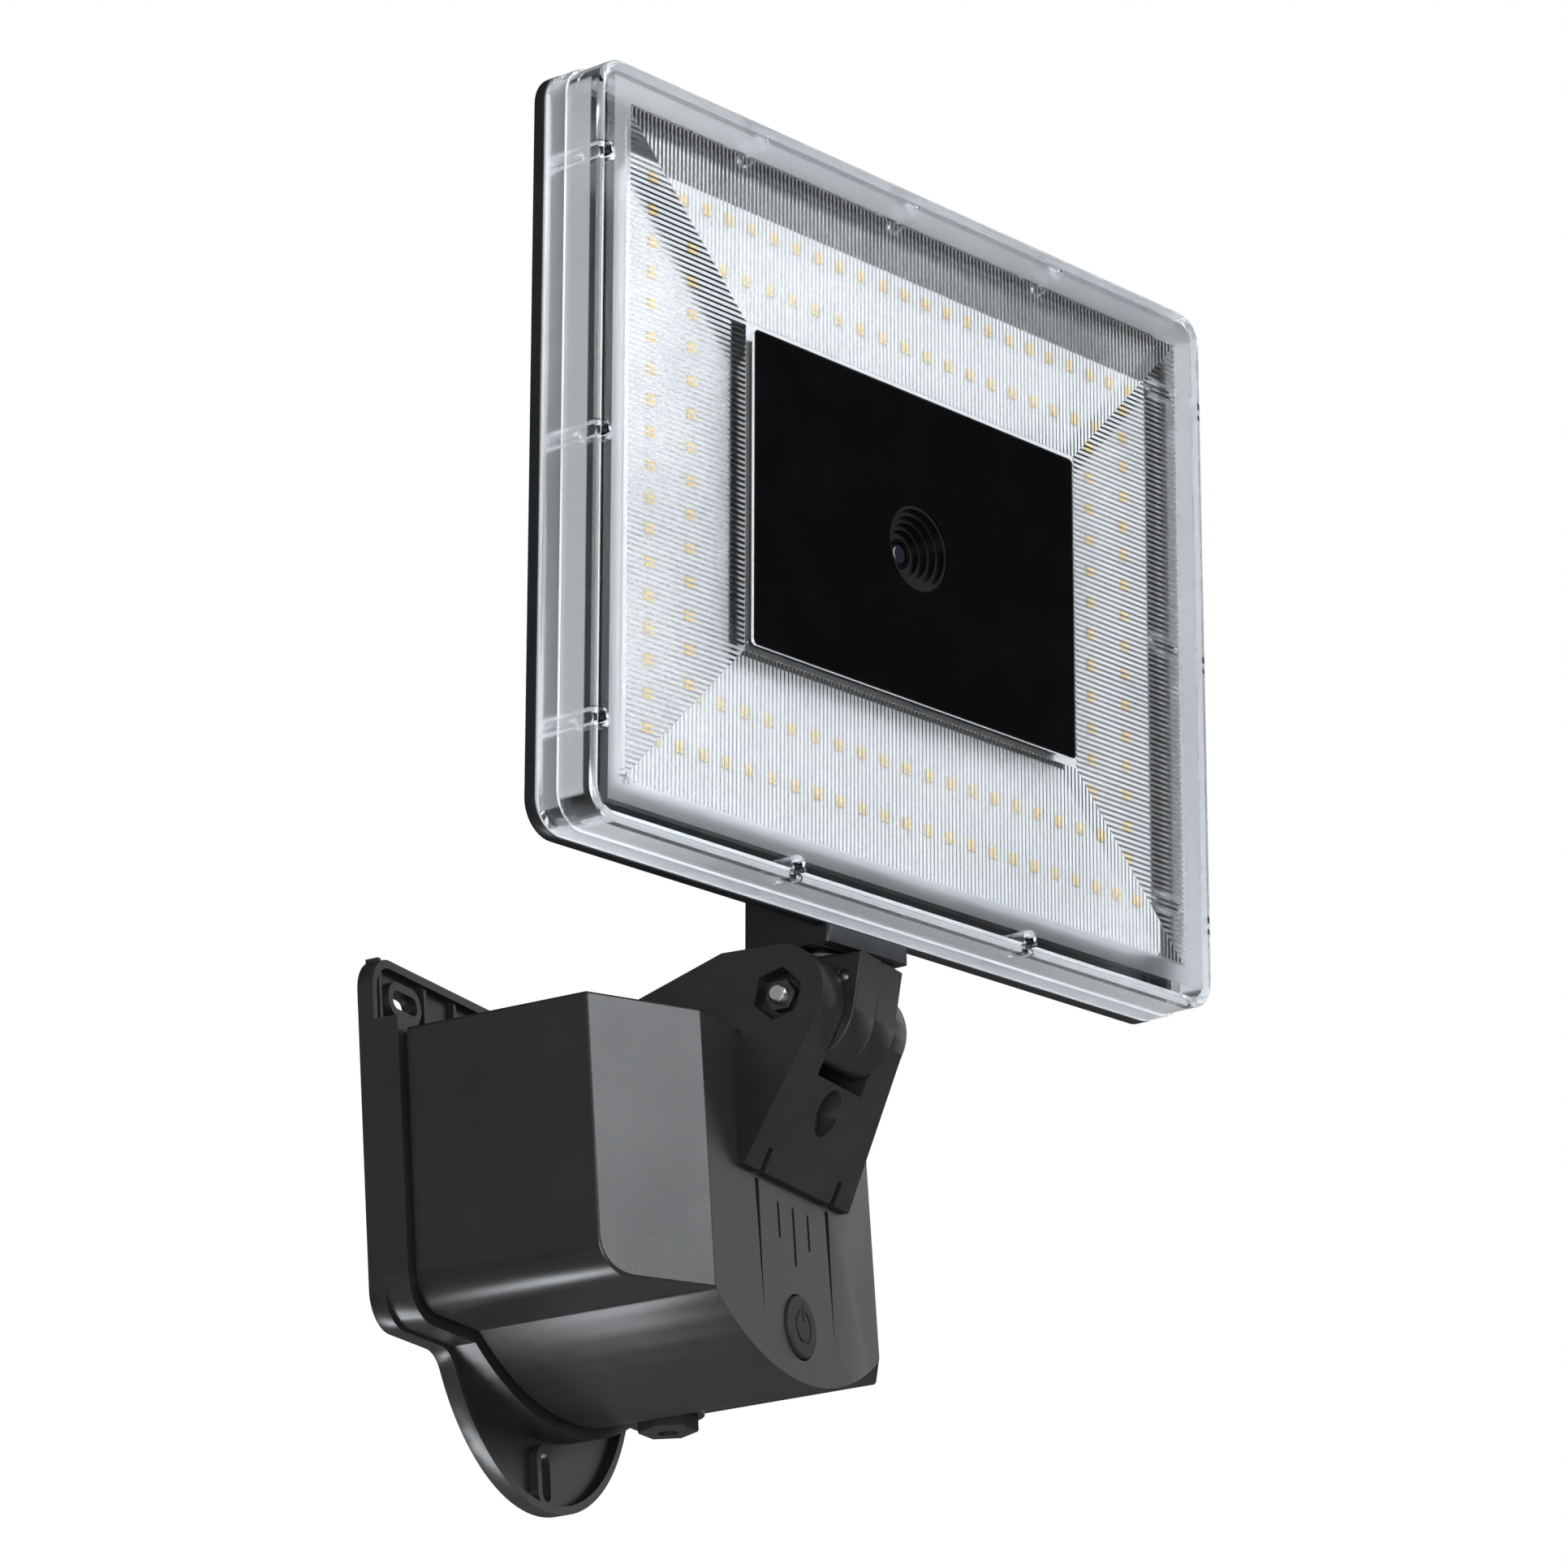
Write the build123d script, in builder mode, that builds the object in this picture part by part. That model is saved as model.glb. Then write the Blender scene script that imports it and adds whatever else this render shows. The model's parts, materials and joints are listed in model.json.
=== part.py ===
"""Floodlight security camera: a flat lamp head on a two-axis knuckle above a wall box.

X runs to the right seen from the front, Y runs into the wall and Z is up.  The origin is
the centre of the wall face of the rear casing.  "Forward" is the distance from the wall.
The head and the knuckle are drawn in their own frames and placed by planes, so the lean
and the pan of the rest pose are two numbers.
"""

import os
from math import asin, cos, radians, sin

from build123d import *

os.makedirs("parts", exist_ok=True)

# ---------------------------------------------------------------- dimensions, mm
# Rear casing and its ears; heights are measured from the top of the box
BOX_TOP = 48.0
PLATE_HALF_WIDTH = 88.0
PLATE_RISE = 22.0
PLATE_DROP = 82.0
PLATE_CORNER = 10.0
PLATE_THICKNESS = 2.6
EAR_RADIUS = 56.0
EAR_CENTRE = -62.0
EAR_FILLET = 8.0
EAR_RIM_DEPTH = 4.8
EAR_RIM_WALL = 2.4
TOP_SLOT = (13.5, 5.2)
TOP_SLOT_X = 70.0
TOP_SLOT_Z = 11.8
BOTTOM_SLOT = (14.0, 5.0)
BOTTOM_SLOT_Z = -108.0
SLOT_RIM = 2.4
CASING_DEPTH = 12.0
CASING_LIP = 3.0

# Front shell
BOX_HALF_WIDTH = 85.0
BOX_HEIGHT = 78.0
BOX_DEPTH = 85.0
SHOULDER_DEPTH = 68.0
FACE_HALF_WIDTH = 51.5
BELLY_DROP = 16.0
GLAND_X = 37.0
GLAND_FORWARD = 25.0
GLAND_PAD = -87.5
GLAND_SEAT = -79.5
BOX_CORNER = 10.0
SHELL_BACK = 13.2
SHELL_WALL = 3.0
SHELL_EDGE = 1.0
TONGUE_BACK = 8.5
TONGUE_INSET = 1.5
FIT_GAP = 0.3
GROOVE_X = 22.0
GROOVE_TOP = -41.0
GROOVE_WIDTH = 2.4
GROOVE_DEPTH = 1.2
SLIT_WIDTH = 1.3
SLITS = ((-9.3, -50.0, 10.5), (0.0, -53.0, 17.0), (9.3, -50.0, 10.5))

# Button
BUTTON_Z = -78.5
BUTTON_RADIUS = 8.8
BUTTON_HOLE_RADIUS = 9.25
BUTTON_PROUD = 1.1
BUTTON_FLANGE_RADIUS = 10.2
BUTTON_TRAVEL = 0.8

# Fork arm; the pivot is the tilt axis
PIVOT_FORWARD = 97.0
PIVOT_RISE = 8.1
CHEEK_RADIUS = 14.0
ARM_HALF_WIDTH = 27.0
ARM_FOOT_HALF_WIDTH = 33.0
ARM_FOOT = -39.5
ARM_KINK = (-16.2, 14.6)
ARM_TAIL_FORWARD = 12.0
ARM_WALL = 3.5
FORK_GAP = 27.4
FORK_FLOOR = -12.8
ARM_SCREW_Z = -20.0
ARM_SCREW_SEAT = 89.5
ARM_SCREW_WELL = 6.0
NOTCH_X = 22.0
HEX_POCKET = 15.2
HEX_POCKET_DEPTH = 6.0
HEX_POCKET_TURN = 15.0

# Knuckle
LUG_WIDTH = 26.6
LUG_SEAM = 0.3
LUG_RADIUS = 17.0
LUG_HEEL_RADIUS = 11.0
LUG_TOP = 13.4
LUG_NOSE = 19.3
LUG_BACK = -10.5
PIVOT_BOLT_RADIUS = 2.5
PIVOT_BORE_RADIUS = 2.55
SPIGOT_RADIUS = 7.0
SPIGOT_BORE_RADIUS = 4.5
SPIGOT_TOP = 40.0
PAN_BORE_RADIUS = 7.05
PAN_NUT_RADIUS = 9.2

# Lamp head; depths are measured back from the front plane of the cover
LEAN = 3.9
PAN = -15.7
HEAD_WIDTH = 262.0
HEAD_HEIGHT = 215.0
HEAD_CORNER = 9.0
HEAD_FRONT = 36.8
HEAD_CENTRE = 128.9
COVER_PLATE = 3.0
COVER_WALL = 3.0
COVER_WALL_END = 12.6
FLANGE_END = 19.6
FLANGE_PROUD = 0.8
GASKET_END = 20.5
HEAD_DEPTH = 24.0
RIB_INSET = 11.5
PANEL_INSET = 62.0
RIB_BAND_END = 60.0
RIB_PITCH = 1.6
RIB_HEIGHT = 0.38
BOARD_FACE = 10.7
BOARD_THICKNESS = 1.6
SPREADER_THICKNESS = 1.5
RIM_WALL_END = 14.5
LED_RINGS = (29.0, 45.0)
LED_PITCH = 9.4
LED_SIZE = (3.2, 3.2, 0.7)
COLUMN_RADIUS = 3.0
CAMERA_HOLE_RADIUS = 12.5
LENS_RADIUS = 3.2
LENS_DEPTH = 8.0

# Hinge block under and behind the head
BLOCK_WIDTH = 34.0
BLOCK_FRONT = 18.0
BLOCK_BACK = -13.5
BLOCK_BOTTOM = 15.0
BLOCK_TOP = 74.0
BLOCK_WALL = 2.6
BEARING_FLOOR = 30.0
BEARING_THICKNESS = 5.0

PANEL_WIDTH = HEAD_WIDTH - 2 * PANEL_INSET
PANEL_HEIGHT = HEAD_HEIGHT - 2 * PANEL_INSET

# ---------------------------------------------------------------- reference planes
PIVOT = (0, -PIVOT_FORWARD, BOX_TOP + PIVOT_RISE)
KNUCKLE_FRAME = Location(PIVOT, (LEAN, 0, 0))
HEAD_FRAME = Location(PIVOT, (LEAN, 0, PAN))


def face_plane(forward):
    """Plane facing forward at a distance from the wall, with its origin at the box top."""
    return Plane(origin=(0, -forward, BOX_TOP), x_dir=(1, 0, 0), z_dir=(0, -1, 0))


def side_plane(x=0.0):
    """Side view through the tilt axis: local x is forward, local y is up."""
    return Plane(origin=(x, PIVOT[1], PIVOT[2]), x_dir=(0, -1, 0), z_dir=(-1, 0, 0))


def placed(frame, plane):
    """The plane carried along by a frame."""
    return Plane(frame * plane.location)


def lug_plane(x=0.0):
    """Side view through the tilt axis that leans with the knuckle."""
    return placed(KNUCKLE_FRAME, Plane(origin=(x, 0, 0), x_dir=(0, -1, 0), z_dir=(-1, 0, 0)))


def head_plane(depth):
    """Plane facing out of the lamp at a depth behind its front, centred on the head."""
    level = Plane(origin=(0, depth - HEAD_FRONT, HEAD_CENTRE), x_dir=(1, 0, 0), z_dir=(0, -1, 0))
    return placed(HEAD_FRAME, level)


def pan_plane(height, frame=HEAD_FRAME):
    """Plane square to the pan axis at a height above the tilt axis; local y is backward."""
    return placed(frame, Plane.XY.offset(height))


# ---------------------------------------------------------------- shared outlines
def box_outline(grow=0.0, mode=Mode.ADD):
    """Draw the front view of the box: flat top, rounded lower corners and a belly arc."""
    side = BOX_HALF_WIDTH + grow
    floor = -BOX_HEIGHT - grow
    corner = BOX_CORNER + grow
    bottom = floor - BELLY_DROP
    belly_radius = (FACE_HALF_WIDTH**2 + BELLY_DROP**2) / (2 * BELLY_DROP)
    half_angle = asin(FACE_HALF_WIDTH / belly_radius) / 2
    belly_mid = (
        belly_radius * sin(half_angle),
        bottom + belly_radius * (1 - cos(half_angle)),
    )
    with BuildLine() as edge:
        Polyline((0, grow), (side, grow), (side, floor + corner))
        turn = JernArc(start=(side, floor + corner), tangent=(0, -1), radius=corner, arc_size=-90)
        Line(turn @ 1, (FACE_HALF_WIDTH, floor))
        ThreePointArc((FACE_HALF_WIDTH, floor), belly_mid, (0, bottom))
        mirror(about=Plane.YZ)
    make_face(edge.edges(), mode=mode)


def box_volume(inset, back, front):
    """Box between two distances from the wall, with the two shoulders cut off its front."""
    with BuildPart() as volume:
        with BuildSketch(face_plane(back)):
            box_outline(-inset)
        extrude(amount=front - back)
        with BuildSketch(Plane.XY.offset(BOX_TOP + PLATE_RISE)):
            with BuildLine():
                Polyline(
                    (-BOX_HALF_WIDTH, 0),
                    (-BOX_HALF_WIDTH, -SHOULDER_DEPTH),
                    (-FACE_HALF_WIDTH, -BOX_DEPTH),
                    (FACE_HALF_WIDTH, -BOX_DEPTH),
                    (BOX_HALF_WIDTH, -SHOULDER_DEPTH),
                    (BOX_HALF_WIDTH, 0),
                    close=True,
                )
            make_face()
            if inset:
                offset(amount=-inset, kind=Kind.INTERSECTION, mode=Mode.REPLACE)
                with Locations((0, 0)):
                    Rectangle(2 * (BOX_HALF_WIDTH - inset), 4 * inset)
        extrude(amount=-(PLATE_RISE + 2 * BOX_HEIGHT), mode=Mode.INTERSECT)
    return volume.part


def plate_outline():
    """Draw the wall plate: a rounded rectangle with a half-round ear below."""
    with Locations((0, (PLATE_RISE - PLATE_DROP) / 2)):
        RectangleRounded(2 * PLATE_HALF_WIDTH, PLATE_RISE + PLATE_DROP, PLATE_CORNER)
    with Locations((0, EAR_CENTRE)):
        Circle(EAR_RADIUS)


def head_frame_rectangle(inset, corner=None, mode=Mode.ADD):
    """Draw a rectangle inset from the outline of the cover."""
    radius = HEAD_CORNER - inset if corner is None else corner
    width = HEAD_WIDTH - 2 * inset
    height = HEAD_HEIGHT - 2 * inset
    if radius > 0.2:
        RectangleRounded(width, height, radius, mode=mode)
    else:
        Rectangle(width, height, mode=mode)


def pan_head_screw(seat, head_radius, head_height, shank_radius, length):
    """Cross-recess screw whose head rests on the seat plane and whose shank goes below it."""
    with BuildPart() as screw:
        with BuildSketch(seat):
            Circle(head_radius)
        extrude(amount=head_height)
        crown = screw.faces().sort_by(Axis(seat.origin, seat.z_dir))[-1]
        fillet(crown.edges(), radius=0.45 * head_height)
        with BuildSketch(seat.offset(head_height)):
            Rectangle(1.2 * head_radius, 0.25 * head_radius)
            Rectangle(0.25 * head_radius, 1.2 * head_radius)
        extrude(amount=-0.5 * head_height, mode=Mode.SUBTRACT)
        with BuildSketch(seat):
            Circle(shank_radius)
        extrude(amount=-length)
    return screw.part


# ---------------------------------------------------------------- rear casing
SCREW_POSTS = ((-72, -14), (72, -14), (-72, -62), (72, -62))
BOARD_POSTS = ((-52, -12), (52, -12), (-52, -66), (52, -66))

with BuildPart() as rear_casing:
    with BuildSketch(face_plane(0)):
        plate_outline()
        fillet(
            vertices().filter_by(lambda v: abs(v.Y + PLATE_DROP) < 0.1 and abs(v.X) < EAR_RADIUS),
            radius=EAR_FILLET,
        )
    extrude(amount=PLATE_THICKNESS)
    with BuildSketch(face_plane(0)):
        plate_outline()
        fillet(
            vertices().filter_by(lambda v: abs(v.Y + PLATE_DROP) < 0.1 and abs(v.X) < EAR_RADIUS),
            radius=EAR_FILLET,
        )
        offset(amount=-EAR_RIM_WALL, mode=Mode.SUBTRACT)
    extrude(amount=EAR_RIM_DEPTH)
    # Collar that the front shell plugs into
    with BuildSketch(face_plane(0)):
        box_outline(CASING_LIP)
        box_outline(FIT_GAP - TONGUE_INSET, mode=Mode.SUBTRACT)
    extrude(amount=CASING_DEPTH)
    # Ledge under the gasket
    with BuildSketch(face_plane(0)):
        box_outline(0)
        box_outline(-5, mode=Mode.SUBTRACT)
    extrude(amount=TONGUE_BACK - 2)
    # Raised rims of the mounting slots and their stiffening ribs
    with BuildSketch(face_plane(0)):
        with Locations((-TOP_SLOT_X, TOP_SLOT_Z), (TOP_SLOT_X, TOP_SLOT_Z)):
            SlotOverall(TOP_SLOT[0] + 2 * SLOT_RIM, TOP_SLOT[1] + 2 * SLOT_RIM)
        with Locations((0, BOTTOM_SLOT_Z)):
            SlotOverall(BOTTOM_SLOT[0] + 1.9 * SLOT_RIM, BOTTOM_SLOT[1] + 2 * SLOT_RIM, rotation=90)
    extrude(amount=EAR_RIM_DEPTH)
    with BuildSketch(face_plane(0)):
        with Locations(*((x, PLATE_RISE / 2 + 1) for x in (-82, -57, -40, 40, 57, 82))):
            Rectangle(1.6, PLATE_RISE - 2)
    extrude(amount=EAR_RIM_DEPTH - 0.8)
    with BuildSketch(face_plane(0)):
        with Locations((-TOP_SLOT_X, TOP_SLOT_Z), (TOP_SLOT_X, TOP_SLOT_Z)):
            SlotOverall(*TOP_SLOT)
        with Locations((0, BOTTOM_SLOT_Z)):
            SlotOverall(*BOTTOM_SLOT, rotation=90)
    extrude(amount=EAR_RIM_DEPTH, mode=Mode.SUBTRACT)
    # Posts for the shell screws and for the control board
    with BuildSketch(face_plane(0)):
        with Locations(*SCREW_POSTS):
            Circle(5.5)
    extrude(amount=TONGUE_BACK)
    with BuildSketch(face_plane(0)):
        with Locations(*BOARD_POSTS):
            Circle(3.5)
    extrude(amount=20)
    with BuildSketch(face_plane(0)):
        with Locations(*SCREW_POSTS):
            Circle(4.2)
    extrude(amount=4, mode=Mode.SUBTRACT)
    with BuildSketch(face_plane(0)):
        with Locations(*SCREW_POSTS):
            Circle(2.1)
    extrude(amount=TONGUE_BACK, mode=Mode.SUBTRACT)
    with BuildSketch(face_plane(20)):
        with Locations(*BOARD_POSTS):
            Circle(1.3)
    extrude(amount=-10, mode=Mode.SUBTRACT)
    # Rear cable opening
    with BuildSketch(face_plane(0)):
        with Locations((0, -58)):
            Circle(10)
    extrude(amount=PLATE_THICKNESS, mode=Mode.SUBTRACT)

with BuildPart() as casing_gasket:
    with BuildSketch(face_plane(TONGUE_BACK - 2)):
        box_outline(FIT_GAP - TONGUE_INSET - 0.1)
        box_outline(-SHELL_WALL, mode=Mode.SUBTRACT)
    extrude(amount=2)

# ---------------------------------------------------------------- front shell
with BuildPart() as shell_posts:
    with BuildSketch(face_plane(TONGUE_BACK + 0.1)):
        with Locations(*SCREW_POSTS):
            Circle(4.5)
    extrude(amount=BOX_DEPTH)
    add(box_volume(1.0, 0, BOX_DEPTH - 1), mode=Mode.INTERSECT)
    with BuildSketch(face_plane(TONGUE_BACK)):
        with Locations(*SCREW_POSTS):
            Circle(1.7)
    extrude(amount=16, mode=Mode.SUBTRACT)

with BuildPart() as front_shell:
    add(box_volume(0, SHELL_BACK, BOX_DEPTH))
    top_edges = front_shell.faces().sort_by(Axis.Z)[-1].edges()
    upright_edges = front_shell.edges().filter_by(Axis.Z)
    fillet(
        (top_edges + upright_edges).filter_by(lambda e: e.center().Y < -SHELL_BACK - 5),
        radius=SHELL_EDGE,
    )
    with BuildSketch(face_plane(TONGUE_BACK)):
        box_outline(-TONGUE_INSET)
    extrude(amount=SHELL_BACK - TONGUE_BACK)
    add(box_volume(SHELL_WALL, TONGUE_BACK - 1, BOX_DEPTH - SHELL_WALL), mode=Mode.SUBTRACT)
    add(shell_posts.part)
    # Boss for the arm screw, ring round the speaker and guide of the button
    with BuildSketch(face_plane(BOX_DEPTH - SHELL_WALL)):
        with Locations((0, ARM_SCREW_Z)):
            Circle(5)
    extrude(amount=-14)
    with BuildSketch(face_plane(BOX_DEPTH - SHELL_WALL)):
        with Locations((0, -51)):
            Circle(16.5)
            Circle(15.2, mode=Mode.SUBTRACT)
    extrude(amount=-7)
    with BuildSketch(face_plane(BOX_DEPTH)):
        with Locations((0, ARM_SCREW_Z)):
            Circle(1.8)
    extrude(amount=-14, mode=Mode.SUBTRACT)
    # Tapered grooves, speaker slits and the button hole in the front face
    with BuildSketch(face_plane(BOX_DEPTH)):
        for groove_x in (-GROOVE_X, GROOVE_X):
            with BuildLine():
                Polyline(
                    (groove_x - GROOVE_WIDTH / 2, GROOVE_TOP),
                    (groove_x + GROOVE_WIDTH / 2, GROOVE_TOP),
                    (groove_x, -BOX_HEIGHT - 2),
                    close=True,
                )
            make_face()
    extrude(amount=-GROOVE_DEPTH, mode=Mode.SUBTRACT)
    with BuildSketch(face_plane(BOX_DEPTH)):
        for slit_x, slit_z, slit_length in SLITS:
            with Locations((slit_x, slit_z)):
                SlotOverall(slit_length, SLIT_WIDTH, rotation=90)
        with Locations((0, BUTTON_Z)):
            Circle(BUTTON_HOLE_RADIUS)
    extrude(amount=-SHELL_WALL, mode=Mode.SUBTRACT)
    # Flat seat on the flank of the belly with the cable gland opening through it
    with BuildSketch(Plane.XY.offset(BOX_TOP + GLAND_PAD)):
        with Locations((GLAND_X, -GLAND_FORWARD)):
            Circle(10.5)
    extrude(amount=GLAND_SEAT - GLAND_PAD)
    with BuildSketch(Plane.XY.offset(BOX_TOP + GLAND_PAD)):
        with Locations((GLAND_X, -GLAND_FORWARD)):
            Circle(10.5)
    extrude(amount=-BELLY_DROP, mode=Mode.SUBTRACT)
    with BuildSketch(Plane.XY.offset(BOX_TOP + GLAND_SEAT)):
        with Locations((GLAND_X, -GLAND_FORWARD)):
            Circle(10)
    extrude(amount=6, mode=Mode.SUBTRACT)
    with BuildSketch(Plane.XY.offset(BOX_TOP + GLAND_SEAT)):
        with Locations((GLAND_X, -GLAND_FORWARD)):
            Circle(7)
    extrude(amount=-BELLY_DROP, mode=Mode.SUBTRACT)

with BuildPart() as rear_grommet:
    with BuildSketch(face_plane(0.4)):
        with Locations((0, -58)):
            Circle(9.9)
    extrude(amount=PLATE_THICKNESS - 0.4)
    with BuildSketch(face_plane(PLATE_THICKNESS)):
        with Locations((0, -58)):
            Circle(12.5)
    extrude(amount=1.8)
    with BuildSketch(face_plane(0)):
        with Locations((0, -58)):
            Circle(7.5)
            Circle(2.5, mode=Mode.SUBTRACT)
    extrude(amount=3.6, mode=Mode.SUBTRACT)

with BuildPart() as cable_gland:
    with BuildSketch(Plane.XY.offset(BOX_TOP + GLAND_PAD)):
        with Locations((GLAND_X, -GLAND_FORWARD)):
            RegularPolygon(8.6, 6)
    extrude(amount=-4.6)
    fillet(cable_gland.faces().sort_by(Axis.Z)[0].edges(), radius=0.8)
    with BuildSketch(Plane.XY.offset(BOX_TOP + GLAND_PAD)):
        with Locations((GLAND_X, -GLAND_FORWARD)):
            Circle(6.9)
    extrude(amount=GLAND_SEAT - GLAND_PAD + 5)
    with BuildSketch(Plane.XY.offset(BOX_TOP + GLAND_SEAT)):
        with Locations((GLAND_X, -GLAND_FORWARD)):
            RegularPolygon(9.5, 6)
            Circle(6.9, mode=Mode.SUBTRACT)
    extrude(amount=4)
    with BuildSketch(Plane.XY.offset(BOX_TOP + GLAND_PAD - 4.6)):
        with Locations((GLAND_X, -GLAND_FORWARD)):
            Circle(3)
    extrude(amount=18, mode=Mode.SUBTRACT)

with BuildPart() as shell_screws:
    for post in SCREW_POSTS:
        seat = Plane(origin=(post[0], -4, BOX_TOP + post[1]), x_dir=(-1, 0, 0), z_dir=(0, 1, 0))
        add(pan_head_screw(seat, 3.8, 2.4, 1.6, 16))

# ---------------------------------------------------------------- inside the box
with BuildPart() as control_board:
    with BuildSketch(face_plane(20)):
        with Locations((0, -39)):
            RectangleRounded(116, 66, 3)
        with Locations(*BOARD_POSTS):
            Circle(1.6, mode=Mode.SUBTRACT)
    extrude(amount=1.6)

with BuildPart() as board_screws:
    for post in BOARD_POSTS:
        seat = Plane(origin=(post[0], -21.6, BOX_TOP + post[1]), x_dir=(1, 0, 0), z_dir=(0, -1, 0))
        add(pan_head_screw(seat, 2.8, 1.8, 1.25, 9))

with BuildPart() as transformer:
    with BuildSketch(face_plane(21.6)):
        with Locations((-32, -26)):
            Rectangle(26, 20)
    extrude(amount=18)
    chamfer(transformer.edges().filter_by(Axis.Y), length=1.5)
    with BuildSketch(face_plane(24)):
        with Locations((-32, -26)):
            Rectangle(18, 26)
    extrude(amount=13)

with BuildPart() as capacitors:
    with BuildSketch(face_plane(21.6)):
        with Locations((-8, -22), (5, -22)):
            Circle(5)
    extrude(amount=18)
    fillet(capacitors.faces().sort_by(Axis.Y)[:2].edges(), radius=0.8)

with BuildPart() as relay:
    with BuildSketch(face_plane(21.6)):
        with Locations((30, -24)):
            Rectangle(19, 15)
    extrude(amount=15)
    fillet(relay.faces().sort_by(Axis.Y)[0].edges(), radius=0.8)

with BuildPart() as radio_module:
    with BuildSketch(face_plane(21.6)):
        with Locations((36, -52)):
            Rectangle(18, 24)
    extrude(amount=0.8)
    with BuildSketch(face_plane(22.4)):
        with Locations((36, -54)):
            RectangleRounded(15, 17, 0.8)
    extrude(amount=2.2)

with BuildPart() as terminal_block:
    with BuildSketch(face_plane(21.6)):
        with Locations((-10, -60)):
            Rectangle(40, 14)
    extrude(amount=13)
    with BuildSketch(face_plane(34.6)):
        with Locations(*((-25 + 10 * way, -58) for way in range(4))):
            Circle(2.6)
    extrude(amount=-8, mode=Mode.SUBTRACT)
    with BuildSketch(Plane.XY.offset(BOX_TOP - 67)):
        with Locations(*((-25 + 10 * way, -25.6) for way in range(4))):
            Rectangle(5.5, 4.5)
    extrude(amount=9, mode=Mode.SUBTRACT)

with BuildPart() as speaker:
    with BuildSketch(face_plane(79)):
        with Locations((0, -51)):
            Circle(15)
    extrude(amount=2.2)
    with BuildSketch(face_plane(79)):
        with Locations((0, -51)):
            Circle(12.5)
    extrude(amount=-5)
    with BuildSketch(face_plane(74)):
        with Locations((0, -51)):
            Circle(8)
    extrude(amount=-3)
    with BuildSketch(face_plane(81.2)):
        with Locations((0, -51)):
            Circle(12.8)
            Circle(4.5, mode=Mode.SUBTRACT)
    extrude(amount=-1.5, mode=Mode.SUBTRACT)

with BuildPart() as speaker_mesh:
    with BuildSketch(face_plane(81.3)):
        with Locations((0, -51)):
            Circle(14.9)
    extrude(amount=0.5)

# ---------------------------------------------------------------- button and its switch
with BuildPart() as power_button:
    with BuildSketch(face_plane(79.4)):
        with Locations((0, BUTTON_Z)):
            Circle(BUTTON_FLANGE_RADIUS)
    extrude(amount=2.2)
    with BuildSketch(face_plane(79.4)):
        with Locations((0, BUTTON_Z)):
            Circle(BUTTON_RADIUS)
    extrude(amount=BOX_DEPTH + BUTTON_PROUD - 79.4)
    fillet(power_button.faces().sort_by(Axis.Y)[0].edges(), radius=0.9)
    with BuildSketch(face_plane(79.4)):
        with Locations((0, BUTTON_Z)):
            Circle(2.2)
    extrude(amount=-7.4)
    # Power symbol: an open ring with a bar standing in the opening
    with BuildSketch(face_plane(BOX_DEPTH + BUTTON_PROUD)):
        with Locations((0, BUTTON_Z)):
            Circle(4.9)
            Circle(4.0, mode=Mode.SUBTRACT)
        with Locations((0, BUTTON_Z + 4.4)):
            Rectangle(3.4, 3, mode=Mode.SUBTRACT)
        with Locations((0, BUTTON_Z + 3.6)):
            Rectangle(0.9, 4.6)
    extrude(amount=-0.4, mode=Mode.SUBTRACT)

with BuildPart() as switch_board:
    with BuildSketch(face_plane(64)):
        with Locations((0, BUTTON_Z + 4)):
            RectangleRounded(36, 16, 1.5)
    extrude(amount=1.6)

with BuildPart() as button_switch:
    with BuildSketch(face_plane(65.6)):
        with Locations((0, BUTTON_Z)):
            Rectangle(6, 6)
    extrude(amount=3.6)
    with BuildSketch(face_plane(69.2)):
        with Locations((0, BUTTON_Z)):
            Circle(1.7)
    extrude(amount=1.6)

# ---------------------------------------------------------------- fork arm
BOX_TOP_LINE = -PIVOT_RISE
BOX_FACE_LINE = BOX_DEPTH - PIVOT_FORWARD
ARM_FOOT_LINE = ARM_FOOT - PIVOT_RISE
FORK_FLOOR_LINE = FORK_FLOOR - PIVOT_RISE
FOOT_THICKNESS = 1.8
TAIL_THICKNESS = 1.4


def on_circle(radius, degrees_up):
    """Point on a circle round the tilt axis, at an angle up from the forward direction."""
    return (radius * cos(radians(degrees_up)), radius * sin(radians(degrees_up)))


def arm_profile():
    """Draw the side view of the arm: tail on the box top, round end and sloping front."""
    front_angle = -30.0
    top_angle = 88.0
    with BuildLine() as edge:
        Polyline(
            on_circle(CHEEK_RADIUS, top_angle),
            ARM_KINK,
            (ARM_TAIL_FORWARD + 2 - PIVOT_FORWARD, BOX_TOP_LINE + TAIL_THICKNESS),
            (ARM_TAIL_FORWARD + 2 - PIVOT_FORWARD, BOX_TOP_LINE),
            (BOX_FACE_LINE, BOX_TOP_LINE),
            (BOX_FACE_LINE, ARM_FOOT_LINE),
            (BOX_FACE_LINE + FOOT_THICKNESS, ARM_FOOT_LINE),
            on_circle(CHEEK_RADIUS, front_angle),
        )
        ThreePointArc(
            on_circle(CHEEK_RADIUS, front_angle),
            on_circle(CHEEK_RADIUS, (front_angle + top_angle) / 2),
            on_circle(CHEEK_RADIUS, top_angle),
        )
    make_face(edge.edges())


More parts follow.
